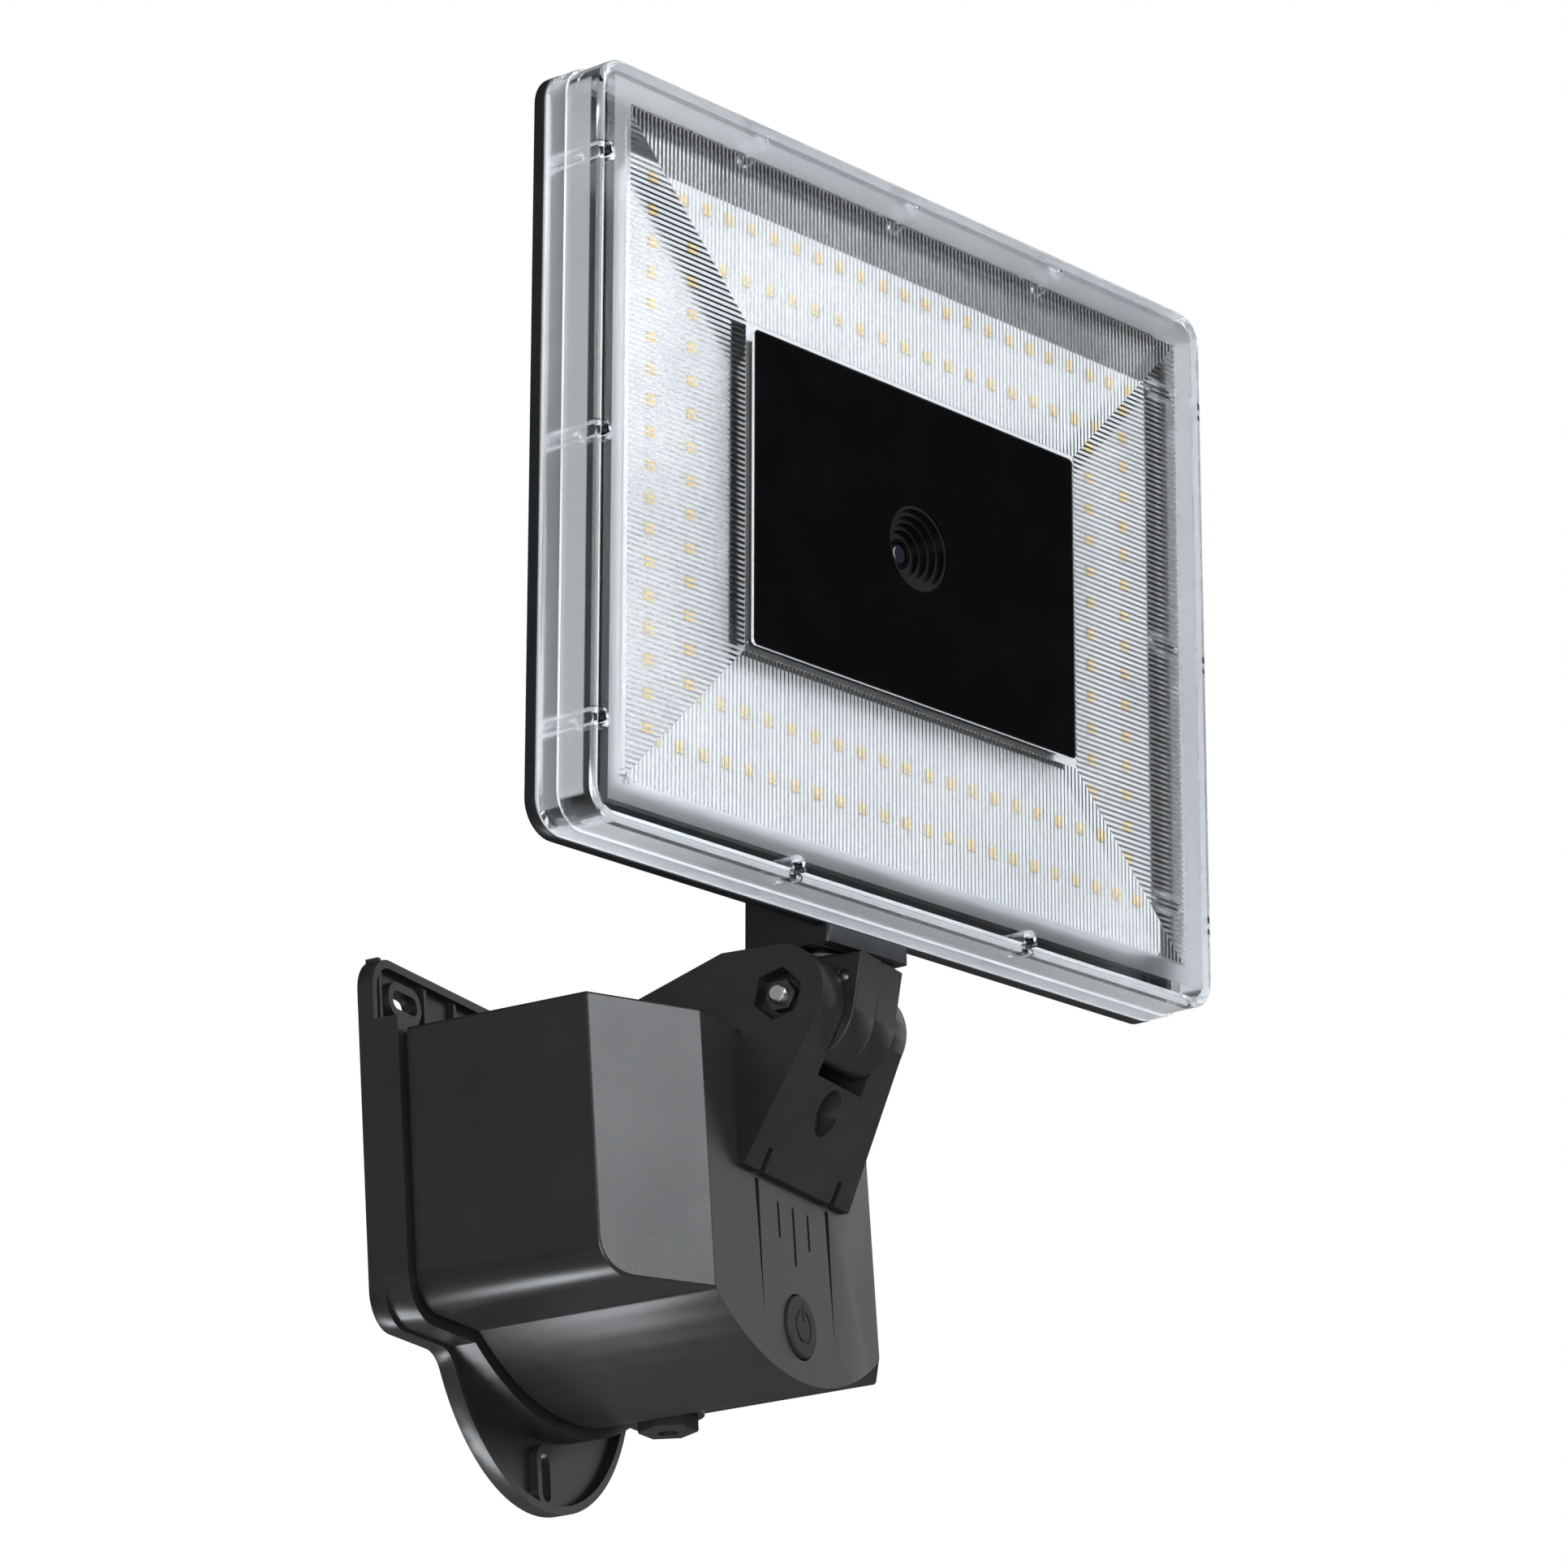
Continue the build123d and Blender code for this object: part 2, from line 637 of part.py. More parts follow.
with BuildPart() as arm_core:
    # Space inside the arm, open towards the box
    with BuildSketch(side_plane()):
        arm_profile()
        offset(amount=-ARM_WALL, mode=Mode.REPLACE)
        with Locations((-44, BOX_TOP_LINE + 1)):
            Rectangle(56, 8)
        with Locations((BOX_FACE_LINE + 1.5, ARM_FOOT_LINE + 18)):
            Rectangle(4, 20)
    extrude(amount=ARM_HALF_WIDTH - ARM_WALL, both=True)
    with BuildSketch(side_plane()):
        with Locations((40 - ARM_WALL - 13.8, FORK_FLOOR_LINE - ARM_WALL + 40)):
            Rectangle(80, 80)
    extrude(amount=FORK_GAP / 2 + ARM_WALL, both=True, mode=Mode.SUBTRACT)
    with BuildSketch(side_plane()):
        Circle(11)
    extrude(amount=ARM_HALF_WIDTH, both=True, mode=Mode.SUBTRACT)
    with BuildSketch(face_plane(BOX_DEPTH - 1)):
        with Locations((0, ARM_SCREW_Z)):
            Circle(ARM_SCREW_WELL + 2.5)
    extrude(amount=20, mode=Mode.SUBTRACT)

with BuildPart() as fork_arm:
    with BuildSketch(side_plane()):
        arm_profile()
    extrude(amount=ARM_FOOT_HALF_WIDTH, both=True)
    with BuildSketch(face_plane(0)):
        with BuildLine():
            Polyline(
                (-ARM_HALF_WIDTH, 40),
                (-ARM_HALF_WIDTH, 0),
                (-ARM_FOOT_HALF_WIDTH, ARM_FOOT),
                (-ARM_FOOT_HALF_WIDTH, ARM_FOOT - 5),
                (ARM_FOOT_HALF_WIDTH, ARM_FOOT - 5),
                (ARM_FOOT_HALF_WIDTH, ARM_FOOT),
                (ARM_HALF_WIDTH, 0),
                (ARM_HALF_WIDTH, 40),
                close=True,
            )
        make_face()
    extrude(amount=2 * PIVOT_FORWARD, mode=Mode.INTERSECT)
    add(arm_core.part, mode=Mode.SUBTRACT)
    # Slot between the two cheeks
    with BuildSketch(side_plane()):
        with Locations((40 - 13.8, FORK_FLOOR_LINE + 40)):
            Rectangle(80, 80)
    extrude(amount=FORK_GAP / 2, both=True, mode=Mode.SUBTRACT)
    # Hex pockets and the bore of the tilt bolt
    with BuildSketch(side_plane(-ARM_HALF_WIDTH + HEX_POCKET_DEPTH)):
        RegularPolygon(HEX_POCKET / 2, 6, rotation=HEX_POCKET_TURN)
    extrude(amount=10, mode=Mode.SUBTRACT)
    with BuildSketch(side_plane(ARM_HALF_WIDTH - HEX_POCKET_DEPTH)):
        RegularPolygon(HEX_POCKET / 2, 6, rotation=HEX_POCKET_TURN)
    extrude(amount=-10, mode=Mode.SUBTRACT)
    with BuildSketch(side_plane()):
        Circle(PIVOT_BORE_RADIUS + 0.1)
    extrude(amount=ARM_HALF_WIDTH, both=True, mode=Mode.SUBTRACT)
    # Counterbored screw hole and the two notches in the foot
    with BuildSketch(face_plane(ARM_SCREW_SEAT)):
        with Locations((0, ARM_SCREW_Z)):
            Circle(ARM_SCREW_WELL)
    extrude(amount=20, mode=Mode.SUBTRACT)
    with BuildSketch(face_plane(BOX_DEPTH)):
        with Locations((0, ARM_SCREW_Z)):
            Circle(2.2)
        with Locations((-NOTCH_X, ARM_FOOT + 3), (NOTCH_X, ARM_FOOT + 3)):
            Rectangle(2.8, 6)
    extrude(amount=12, mode=Mode.SUBTRACT)

with BuildPart() as arm_screw:
    seat = Plane(origin=(0, -ARM_SCREW_SEAT, BOX_TOP + ARM_SCREW_Z), x_dir=(1, 0, 0), z_dir=(0, -1, 0))
    add(pan_head_screw(seat, 4.6, 3.0, 1.75, 15))

with BuildPart() as pivot_bolt:
    with BuildSketch(side_plane(ARM_HALF_WIDTH - HEX_POCKET_DEPTH + 1.1)):
        Circle(4.3)
    extrude(amount=-4.2)
    with BuildSketch(side_plane(ARM_HALF_WIDTH - HEX_POCKET_DEPTH + 5.3)):
        RegularPolygon(2.3, 6)
    extrude(amount=2.4, mode=Mode.SUBTRACT)
    with BuildSketch(side_plane(ARM_HALF_WIDTH - HEX_POCKET_DEPTH + 1.1)):
        Circle(PIVOT_BOLT_RADIUS)
    extrude(amount=2 * ARM_HALF_WIDTH - HEX_POCKET_DEPTH + 2.1)
    chamfer(pivot_bolt.faces().sort_by(Axis.X)[0].edges(), length=0.5)

with BuildPart() as pivot_nut:
    with BuildSketch(side_plane(-ARM_HALF_WIDTH + HEX_POCKET_DEPTH - 1.1)):
        RegularPolygon(4.6, 6)
        Circle(PIVOT_BOLT_RADIUS + 0.05, mode=Mode.SUBTRACT)
    extrude(amount=3.2)

with BuildPart() as pivot_washers:
    for washer_x in (-ARM_HALF_WIDTH + HEX_POCKET_DEPTH, ARM_HALF_WIDTH - HEX_POCKET_DEPTH + 1):
        with BuildSketch(side_plane(washer_x)):
            Circle(5.2)
            Circle(PIVOT_BOLT_RADIUS + 0.1, mode=Mode.SUBTRACT)
        extrude(amount=1)

# ---------------------------------------------------------------- knuckle
LUG_BOLTS = ((9.5, -9.0), (13.5, 7.0))


def lug_profile():
    """Draw the side view of the lug: round front, leaning nose and a trimmed heel."""
    with BuildLine() as edge:
        Polyline(
            on_circle(LUG_RADIUS, -72.0),
            on_circle(LUG_HEEL_RADIUS, -115.0),
            (LUG_BACK, -3.2),
            (LUG_BACK, LUG_TOP),
            (LUG_NOSE, LUG_TOP),
            on_circle(LUG_RADIUS, -9.0),
        )
        ThreePointArc(
            on_circle(LUG_RADIUS, -9.0),
            on_circle(LUG_RADIUS, -40.0),
            on_circle(LUG_RADIUS, -72.0),
        )
    make_face(edge.edges())


def lug_half(near_x, far_x):
    """One half of the lug between two side planes, with a softened rim on its outer face."""
    with BuildPart() as half:
        with BuildSketch(lug_plane(max(near_x, far_x))):
            lug_profile()
        extrude(amount=abs(far_x - near_x))
        for end in (0, -1):
            chamfer(half.faces().sort_by(Axis.X)[end].edges(), length=0.5)
        with BuildSketch(lug_plane(LUG_WIDTH)):
            Circle(PIVOT_BORE_RADIUS)
            with Locations(*LUG_BOLTS):
                Circle(1.65)
        extrude(amount=2 * LUG_WIDTH, mode=Mode.SUBTRACT)
        with BuildSketch(pan_plane(5.5, KNUCKLE_FRAME)):
            Circle(SPIGOT_RADIUS + 0.05)
        extrude(amount=LUG_TOP, mode=Mode.SUBTRACT)
        with BuildSketch(lug_plane(LUG_WIDTH)):
            with Locations(*LUG_BOLTS):
                Circle(2.7)
        extrude(amount=LUG_WIDTH / 2 + 2.4, mode=Mode.SUBTRACT)
    return half.part


with BuildPart() as lug_left:
    add(lug_half(-LUG_SEAM / 2, -LUG_WIDTH / 2))

with BuildPart() as lug_right:
    add(lug_half(LUG_SEAM / 2, LUG_WIDTH / 2))

with BuildPart() as lug_screws:
    for forward, up in LUG_BOLTS:
        seat = Plane(origin=(LUG_WIDTH / 2 - 2.4, -forward, up), x_dir=(0, 1, 0), z_dir=(1, 0, 0))
        add(pan_head_screw(placed(KNUCKLE_FRAME, seat), 2.6, 1.6, 1.6, 20))

with BuildPart() as pan_spigot:
    with BuildSketch(pan_plane(5.6, KNUCKLE_FRAME)):
        Circle(SPIGOT_RADIUS)
    extrude(amount=SPIGOT_TOP + 2 - 5.6)
    with BuildSketch(pan_plane(LUG_TOP + 0.05, KNUCKLE_FRAME)):
        Circle(13)
    extrude(amount=1.2)
    chamfer(pan_spigot.faces().sort_by(Axis.Z)[-1].edges(), length=0.6)
    with BuildSketch(pan_plane(5.6, KNUCKLE_FRAME)):
        Circle(SPIGOT_BORE_RADIUS)
    extrude(amount=SPIGOT_TOP + 2, mode=Mode.SUBTRACT)

with BuildPart() as pan_washer:
    with BuildSketch(pan_plane(BEARING_FLOOR + BEARING_THICKNESS + 0.35, KNUCKLE_FRAME)):
        Circle(PAN_NUT_RADIUS)
        Circle(SPIGOT_RADIUS + 0.2, mode=Mode.SUBTRACT)
    extrude(amount=1)

with BuildPart() as pan_nut:
    with BuildSketch(pan_plane(BEARING_FLOOR + BEARING_THICKNESS + 1.35, KNUCKLE_FRAME)):
        RegularPolygon(PAN_NUT_RADIUS, 6)
        Circle(SPIGOT_RADIUS + 0.05, mode=Mode.SUBTRACT)
    extrude(amount=4.4)

# ---------------------------------------------------------------- hinge block of the head
HEAD_BACK = HEAD_FRONT - HEAD_DEPTH
BLOCK_MIDDLE = -(BLOCK_FRONT + BLOCK_BACK) / 2
BLOCK_LENGTH = BLOCK_FRONT - BLOCK_BACK
BLOCK_STEP = HEAD_CENTRE - HEAD_HEIGHT / 2 - 1.4
TAB_SCREWS = ((-23, 48), (23, 48), (-23, 66), (23, 66))

with BuildPart() as hinge_block:
    with BuildSketch(pan_plane(BLOCK_BOTTOM)):
        with Locations((0, BLOCK_MIDDLE)):
            RectangleRounded(BLOCK_WIDTH, BLOCK_LENGTH, 1.5)
    extrude(amount=BLOCK_TOP - BLOCK_BOTTOM)
    with BuildSketch(pan_plane(BLOCK_STEP)):
        with Locations((0, -HEAD_BACK + 0.2 - 10)):
            Rectangle(BLOCK_WIDTH + 2, 20)
    extrude(amount=BLOCK_TOP, mode=Mode.SUBTRACT)
    # Side tabs against the rear housing
    with BuildSketch(pan_plane(40)):
        with Locations((0, -HEAD_BACK + 0.2 + 1.5)):
            Rectangle(BLOCK_WIDTH + 24, 3)
    extrude(amount=BLOCK_TOP - 40)
    # Hollow below the bearing floor, with one rib across it, and cable space above
    with BuildSketch(pan_plane(BLOCK_BOTTOM)):
        with Locations((0, BLOCK_MIDDLE)):
            Rectangle(BLOCK_WIDTH - 2 * BLOCK_WALL, BLOCK_LENGTH - 2 * BLOCK_WALL)
        with Locations((0, -13.4)):
            Rectangle(BLOCK_WIDTH, 1.4, mode=Mode.SUBTRACT)
    extrude(amount=BLOCK_STEP - BLOCK_WALL - BLOCK_BOTTOM, mode=Mode.SUBTRACT)
    with BuildSketch(pan_plane(BLOCK_BOTTOM)):
        with Locations((0, (-BLOCK_BACK - HEAD_BACK) / 2)):
            Rectangle(BLOCK_WIDTH - 2 * BLOCK_WALL, HEAD_BACK - BLOCK_BACK - 2 * BLOCK_WALL)
    extrude(amount=BEARING_FLOOR - BLOCK_BOTTOM, mode=Mode.SUBTRACT)
    with BuildSketch(pan_plane(BEARING_FLOOR + BEARING_THICKNESS)):
        with Locations((0, (-BLOCK_BACK - HEAD_BACK) / 2)):
            Rectangle(BLOCK_WIDTH - 2 * BLOCK_WALL, HEAD_BACK - BLOCK_BACK - 2 * BLOCK_WALL + 1.6)
    extrude(amount=BLOCK_TOP - BEARING_FLOOR - BEARING_THICKNESS - BLOCK_WALL, mode=Mode.SUBTRACT)
    with BuildSketch(pan_plane(BEARING_FLOOR)):
        Circle(PAN_BORE_RADIUS)
    extrude(amount=BEARING_THICKNESS, mode=Mode.SUBTRACT)
    # Cable hole towards the housing and the screw holes of the tabs
    with BuildSketch(head_plane(HEAD_DEPTH - 1)):
        with Locations((0, 55 - HEAD_CENTRE)):
            Circle(6.5)
        with Locations(*((x, z - HEAD_CENTRE) for x, z in TAB_SCREWS)):
            Circle(1.9)
    extrude(amount=-6, mode=Mode.SUBTRACT)

with BuildPart() as hinge_block_screws:
    for x, z in TAB_SCREWS:
        seat = Plane(origin=(x, -HEAD_BACK + 3.3, z), x_dir=(-1, 0, 0), z_dir=(0, 1, 0))
        add(pan_head_screw(placed(HEAD_FRAME, seat), 3.6, 2.2, 1.7, 8.5))

# ---------------------------------------------------------------- lamp head
COLUMN_INSET = 4.4
COLUMNS = (
    [(side * (HEAD_WIDTH / 2 - COLUMN_INSET), z) for side in (-1, 1) for z in (-80, 0, 80)]
    + [(x, HEAD_HEIGHT / 2 - COLUMN_INSET) for x in (-64, 0, 64)]
    + [(x, -HEAD_HEIGHT / 2 + COLUMN_INSET) for x in (-49, 49)]
)
BULGE = (180.0, 130.0)
BULGE_DEPTH = 9.0
BULGE_CENTRE = 17.0
HOUSING_FLOOR = 2.5
BOARD_SIZE = (226.0, 177.0)
BOARD_DROP = 5.0
BOARD_STANDS = ((-100, -70), (-40, -70), (40, -70), (100, -70), (-100, 0), (100, 0), (-100, 70), (100, 70))


def led_positions():
    """Centres of the LEDs along the two rectangular rings round the camera panel."""
    places = []
    for inset in LED_RINGS:
        half_width = HEAD_WIDTH / 2 - inset
        half_height = HEAD_HEIGHT / 2 - inset
        across = round(2 * half_width / LED_PITCH)
        upward = round(2 * half_height / LED_PITCH)
        for step in range(across + 1):
            x = -half_width + 2 * half_width * step / across
            places += [(x, half_height), (x, -half_height)]
        for step in range(1, upward):
            z = -half_height + 2 * half_height * step / upward
            places += [(-half_width, z), (half_width, z)]
    return places


def rib_band(section, length, span, outline, mirror_plane):
    """Prismatic ribs behind the cover plate in one trapezoid band, and its mirror image.

    The local axes of the section plane are: x across the ribs, y backward from the pan axis.
    """
    base = COVER_PLATE - HEAD_FRONT
    count = int(span // RIB_PITCH)
    start = -count * RIB_PITCH / 2
    teeth = [(start, base - 0.4), (start, base)]
    for rib in range(count):
        teeth.append((start + (rib + 0.5) * RIB_PITCH, base + RIB_HEIGHT))
        teeth.append((start + (rib + 1) * RIB_PITCH, base))
    teeth.append((start + count * RIB_PITCH, base - 0.4))
    with BuildPart() as band:
        with BuildSketch(section):
            with BuildLine():
                Polyline(*teeth, close=True)
            make_face()
        extrude(amount=length)
        with BuildSketch(head_plane(0)):
            with BuildLine():
                Polyline(*outline, close=True)
            make_face()
        extrude(amount=-10, mode=Mode.INTERSECT)
        mirror(about=mirror_plane)
    return band.part


RIB_OUT = (HEAD_WIDTH / 2 - RIB_INSET, HEAD_HEIGHT / 2 - RIB_INSET)
RIB_IN = (HEAD_WIDTH / 2 - RIB_BAND_END, HEAD_HEIGHT / 2 - RIB_BAND_END)
RIB_BAND = RIB_BAND_END - RIB_INSET
UPRIGHT_RIBS = rib_band(
    pan_plane(HEAD_CENTRE + RIB_IN[1]),
    RIB_BAND,
    2 * RIB_OUT[0],
    [(-RIB_OUT[0], RIB_OUT[1]), (RIB_OUT[0], RIB_OUT[1]), (RIB_IN[0], RIB_IN[1]), (-RIB_IN[0], RIB_IN[1])],
    pan_plane(HEAD_CENTRE),
)
LEVEL_RIBS = rib_band(
    placed(HEAD_FRAME, Plane(origin=(RIB_OUT[0], 0, HEAD_CENTRE), x_dir=(0, 0, 1), z_dir=(-1, 0, 0))),
    RIB_BAND,
    2 * RIB_OUT[1],
    [(RIB_OUT[0], -RIB_OUT[1]), (RIB_OUT[0], RIB_OUT[1]), (RIB_IN[0], RIB_IN[1]), (RIB_IN[0], -RIB_IN[1])],
    placed(HEAD_FRAME, Plane.YZ),
)

with BuildPart() as front_cover:
    with BuildSketch(head_plane(0)):
        head_frame_rectangle(0)
    extrude(amount=-COVER_WALL_END)
    fillet(front_cover.faces().sort_by(Axis(PIVOT, head_plane(0).z_dir))[-1].edges(), radius=1.5)
    with BuildSketch(head_plane(COVER_WALL_END)):
        head_frame_rectangle(-FLANGE_PROUD)
    extrude(amount=COVER_WALL_END - FLANGE_END)
    with BuildSketch(head_plane(COVER_PLATE)):
        head_frame_rectangle(COVER_WALL)
    extrude(amount=COVER_PLATE - FLANGE_END, mode=Mode.SUBTRACT)
    with BuildSketch(head_plane(COVER_PLATE - 0.5)):
        with Locations(*COLUMNS):
            Circle(COLUMN_RADIUS)
    extrude(amount=COVER_PLATE - 0.5 - FLANGE_END)
    with BuildSketch(head_plane(COVER_WALL_END - 4)):
        with Locations(*COLUMNS):
            Circle(1.25)
    extrude(amount=COVER_WALL_END - 4 - FLANGE_END, mode=Mode.SUBTRACT)
    # Opening for the camera panel, stepped so that the panel rests on a ledge
    with BuildSketch(head_plane(0)):
        RectangleRounded(PANEL_WIDTH, PANEL_HEIGHT, 1.5)
    extrude(amount=-1.9, mode=Mode.SUBTRACT)
    with BuildSketch(head_plane(0)):
        Rectangle(PANEL_WIDTH - 4, PANEL_HEIGHT - 4)
    extrude(amount=-COVER_PLATE, mode=Mode.SUBTRACT)
    add(UPRIGHT_RIBS)
    add(LEVEL_RIBS)

with BuildPart() as cover_gasket:
    with BuildSketch(head_plane(FLANGE_END)):
        head_frame_rectangle(-FLANGE_PROUD + 0.2)
        head_frame_rectangle(COVER_WALL)
        with Locations(*COLUMNS):
            Circle(COLUMN_RADIUS)
    extrude(amount=FLANGE_END - GASKET_END)
    with BuildSketch(head_plane(FLANGE_END)):
        RectangleRounded(HEAD_WIDTH - 2 * COVER_WALL, HEAD_HEIGHT - 2 * COVER_WALL, HEAD_CORNER - COVER_WALL)
    extrude(amount=FLANGE_END - GASKET_END, mode=Mode.SUBTRACT)

with BuildPart() as rear_housing:
    with BuildSketch(head_plane(HEAD_DEPTH)):
        head_frame_rectangle(-1)
    extrude(amount=HEAD_DEPTH - GASKET_END)
    with BuildSketch(head_plane(HEAD_DEPTH)):
        with Locations((0, BULGE_CENTRE)):
            RectangleRounded(*BULGE, 12)
    extrude(amount=-BULGE_DEPTH, taper=12)
    with BuildSketch(head_plane(HEAD_DEPTH - HOUSING_FLOOR)):
        head_frame_rectangle(7.6, 2)
    extrude(amount=2, mode=Mode.SUBTRACT)
    with BuildSketch(head_plane(HEAD_DEPTH - HOUSING_FLOOR)):
        with Locations((0, BULGE_CENTRE)):
            RectangleRounded(BULGE[0] - 8, BULGE[1] - 8, 9)
    extrude(amount=-BULGE_DEPTH, mode=Mode.SUBTRACT)
    # Dark inner rim behind the clear wall and the stands of the LED board
    with BuildSketch(head_plane(GASKET_END)):
        head_frame_rectangle(COVER_WALL + FIT_GAP + 0.1)
        head_frame_rectangle(COVER_WALL + FIT_GAP + 2.1, 3, mode=Mode.SUBTRACT)
        with Locations(*COLUMNS):
            Circle(COLUMN_RADIUS + 0.4, mode=Mode.SUBTRACT)
    extrude(amount=GASKET_END - RIM_WALL_END)
    with BuildSketch(head_plane(HEAD_DEPTH - HOUSING_FLOOR)):
        with Locations(*BOARD_STANDS):
            Circle(4)
    extrude(amount=HEAD_DEPTH - HOUSING_FLOOR - BOARD_FACE - BOARD_THICKNESS - SPREADER_THICKNESS)
    # Low cooling ribs across the back of the bulge
    with BuildSketch(head_plane(HEAD_DEPTH + BULGE_DEPTH)):
        with Locations((0, BULGE_CENTRE)):
            with GridLocations(12, 0, 12, 1):
                Rectangle(1.8, BULGE[1] - 22)
    extrude(amount=-1.5)
    # Holes for the cover screws, the hinge block, the cable and the vent
    with BuildSketch(head_plane(GASKET_END)):
        with Locations(*COLUMNS):
            Circle(1.7)
        with Locations(*((x, z - HEAD_CENTRE) for x, z in TAB_SCREWS)):
            Circle(1.75)
        with Locations((0, 55 - HEAD_CENTRE)):
            Circle(6.5)
        with Locations((-104, -70)):
            Circle(4)
    extrude(amount=GASKET_END - HEAD_DEPTH, mode=Mode.SUBTRACT)

with BuildPart() as cover_screws:
    for x, z in COLUMNS:
        seat = Plane(origin=(x, -HEAD_BACK, z + HEAD_CENTRE), x_dir=(-1, 0, 0), z_dir=(0, 1, 0))
        add(pan_head_screw(placed(HEAD_FRAME, seat), 3.1, 1.9, 1.2, 14))

with BuildPart() as led_board:
    with BuildSketch(head_plane(BOARD_FACE)):
        with Locations((0, -BOARD_DROP)):
            RectangleRounded(*BOARD_SIZE, 4)
        Rectangle(PANEL_WIDTH + 2, PANEL_HEIGHT + 2, mode=Mode.SUBTRACT)
    extrude(amount=-BOARD_THICKNESS)

with BuildPart() as leds:
    with BuildSketch(head_plane(BOARD_FACE)):
        with Locations(*led_positions()):
            Rectangle(LED_SIZE[0], LED_SIZE[1])
    extrude(amount=LED_SIZE[2])

with BuildPart() as heat_spreader:
    with BuildSketch(head_plane(BOARD_FACE + BOARD_THICKNESS)):
        with Locations((0, -BOARD_DROP)):
            RectangleRounded(BOARD_SIZE[0] - 2, BOARD_SIZE[1] - 2, 3)
        Rectangle(PANEL_WIDTH + 4, PANEL_HEIGHT + 4, mode=Mode.SUBTRACT)
    extrude(amount=-SPREADER_THICKNESS)

# ---------------------------------------------------------------- camera in the panel
with BuildPart() as camera_panel:
    with BuildSketch(head_plane(1.8)):
        RectangleRounded(PANEL_WIDTH - 0.4, PANEL_HEIGHT - 0.4, 1.3)
    extrude(amount=1.8)
    chamfer(camera_panel.faces().sort_by(Axis(PIVOT, head_plane(0).z_dir))[-1].edges(), length=0.3)
    with BuildSketch(head_plane(0)):
        Circle(CAMERA_HOLE_RADIUS)
    extrude(amount=-2, mode=Mode.SUBTRACT)

with BuildPart() as camera_box:
    with BuildSketch(head_plane(1.9)):
        Rectangle(PANEL_WIDTH - 4.6, PANEL_HEIGHT - 4.6)
    extrude(amount=-16)
    with BuildSketch(head_plane(1.9)):
        Rectangle(PANEL_WIDTH - 8, PANEL_HEIGHT - 8)
    extrude(amount=-14.4, mode=Mode.SUBTRACT)
    with BuildSketch(head_plane(18)):
        with Locations((40, -20)):
            Rectangle(14, 6)
    extrude(amount=3, mode=Mode.SUBTRACT)

with BuildPart() as camera_bezel:
    with BuildSketch(head_plane(0.4)):
        Circle(CAMERA_HOLE_RADIUS - 0.1)
    extrude(amount=-LENS_DEPTH)
    for outer, depth in ((11.4, 0.4), (9.8, 2.2), (8.2, 4.0), (6.6, 5.6)):
        with BuildSketch(head_plane(depth)):
            Circle(outer)
        extrude(amount=-1.8, mode=Mode.SUBTRACT)
    with BuildSketch(head_plane(LENS_DEPTH + 0.4)):
        Circle(LENS_RADIUS + 1.2)
    extrude(amount=3, mode=Mode.SUBTRACT)

with BuildPart() as lens_barrel:
    with BuildSketch(head_plane(LENS_DEPTH - 1)):
        Circle(LENS_RADIUS + 1.1)
        Circle(LENS_RADIUS + 0.05, mode=Mode.SUBTRACT)
    extrude(amount=-1.4)
    with BuildSketch(head_plane(LENS_DEPTH + 0.4)):
        Circle(7)
        Circle(LENS_RADIUS + 0.05, mode=Mode.SUBTRACT)
    extrude(amount=-6)

with BuildPart() as front_lens:
    with BuildSketch(head_plane(LENS_DEPTH + 1.8)):
        Circle(LENS_RADIUS)
    extrude(amount=2.6)
    fillet(front_lens.faces().sort_by(Axis(PIVOT, head_plane(0).z_dir))[-1].edges(), radius=1.2)

with BuildPart() as image_sensor:
    with BuildSketch(head_plane(14.6)):
        Rectangle(4.4, 3.8)
    extrude(amount=0.8)

with BuildPart() as camera_board:
    with BuildSketch(head_plane(14.6)):
        RectangleRounded(40, 40, 2)
    extrude(amount=-1.4)

# ---------------------------------------------------------------- lamp electronics
with BuildPart() as driver_board:
    with BuildSketch(head_plane(HEAD_DEPTH + 4)):
        with Locations((0, BULGE_CENTRE)):
            RectangleRounded(160, 108, 3)
    extrude(amount=-1.6)

with BuildPart() as driver_coils:
    with BuildSketch(head_plane(HEAD_DEPTH + 4)):
        with Locations((-50, 40), (-20, 40), (50, 0)):
            Circle(8)
    extrude(amount=7)

with BuildPart() as vent_plug:
    with BuildSketch(head_plane(HEAD_DEPTH - HOUSING_FLOOR)):
        with Locations((-104, -70)):
            Circle(3.9)
    extrude(amount=-HOUSING_FLOOR)
    with BuildSketch(head_plane(HEAD_DEPTH)):
        with Locations((-104, -70)):
            Circle(5.5)
    extrude(amount=-1.4)

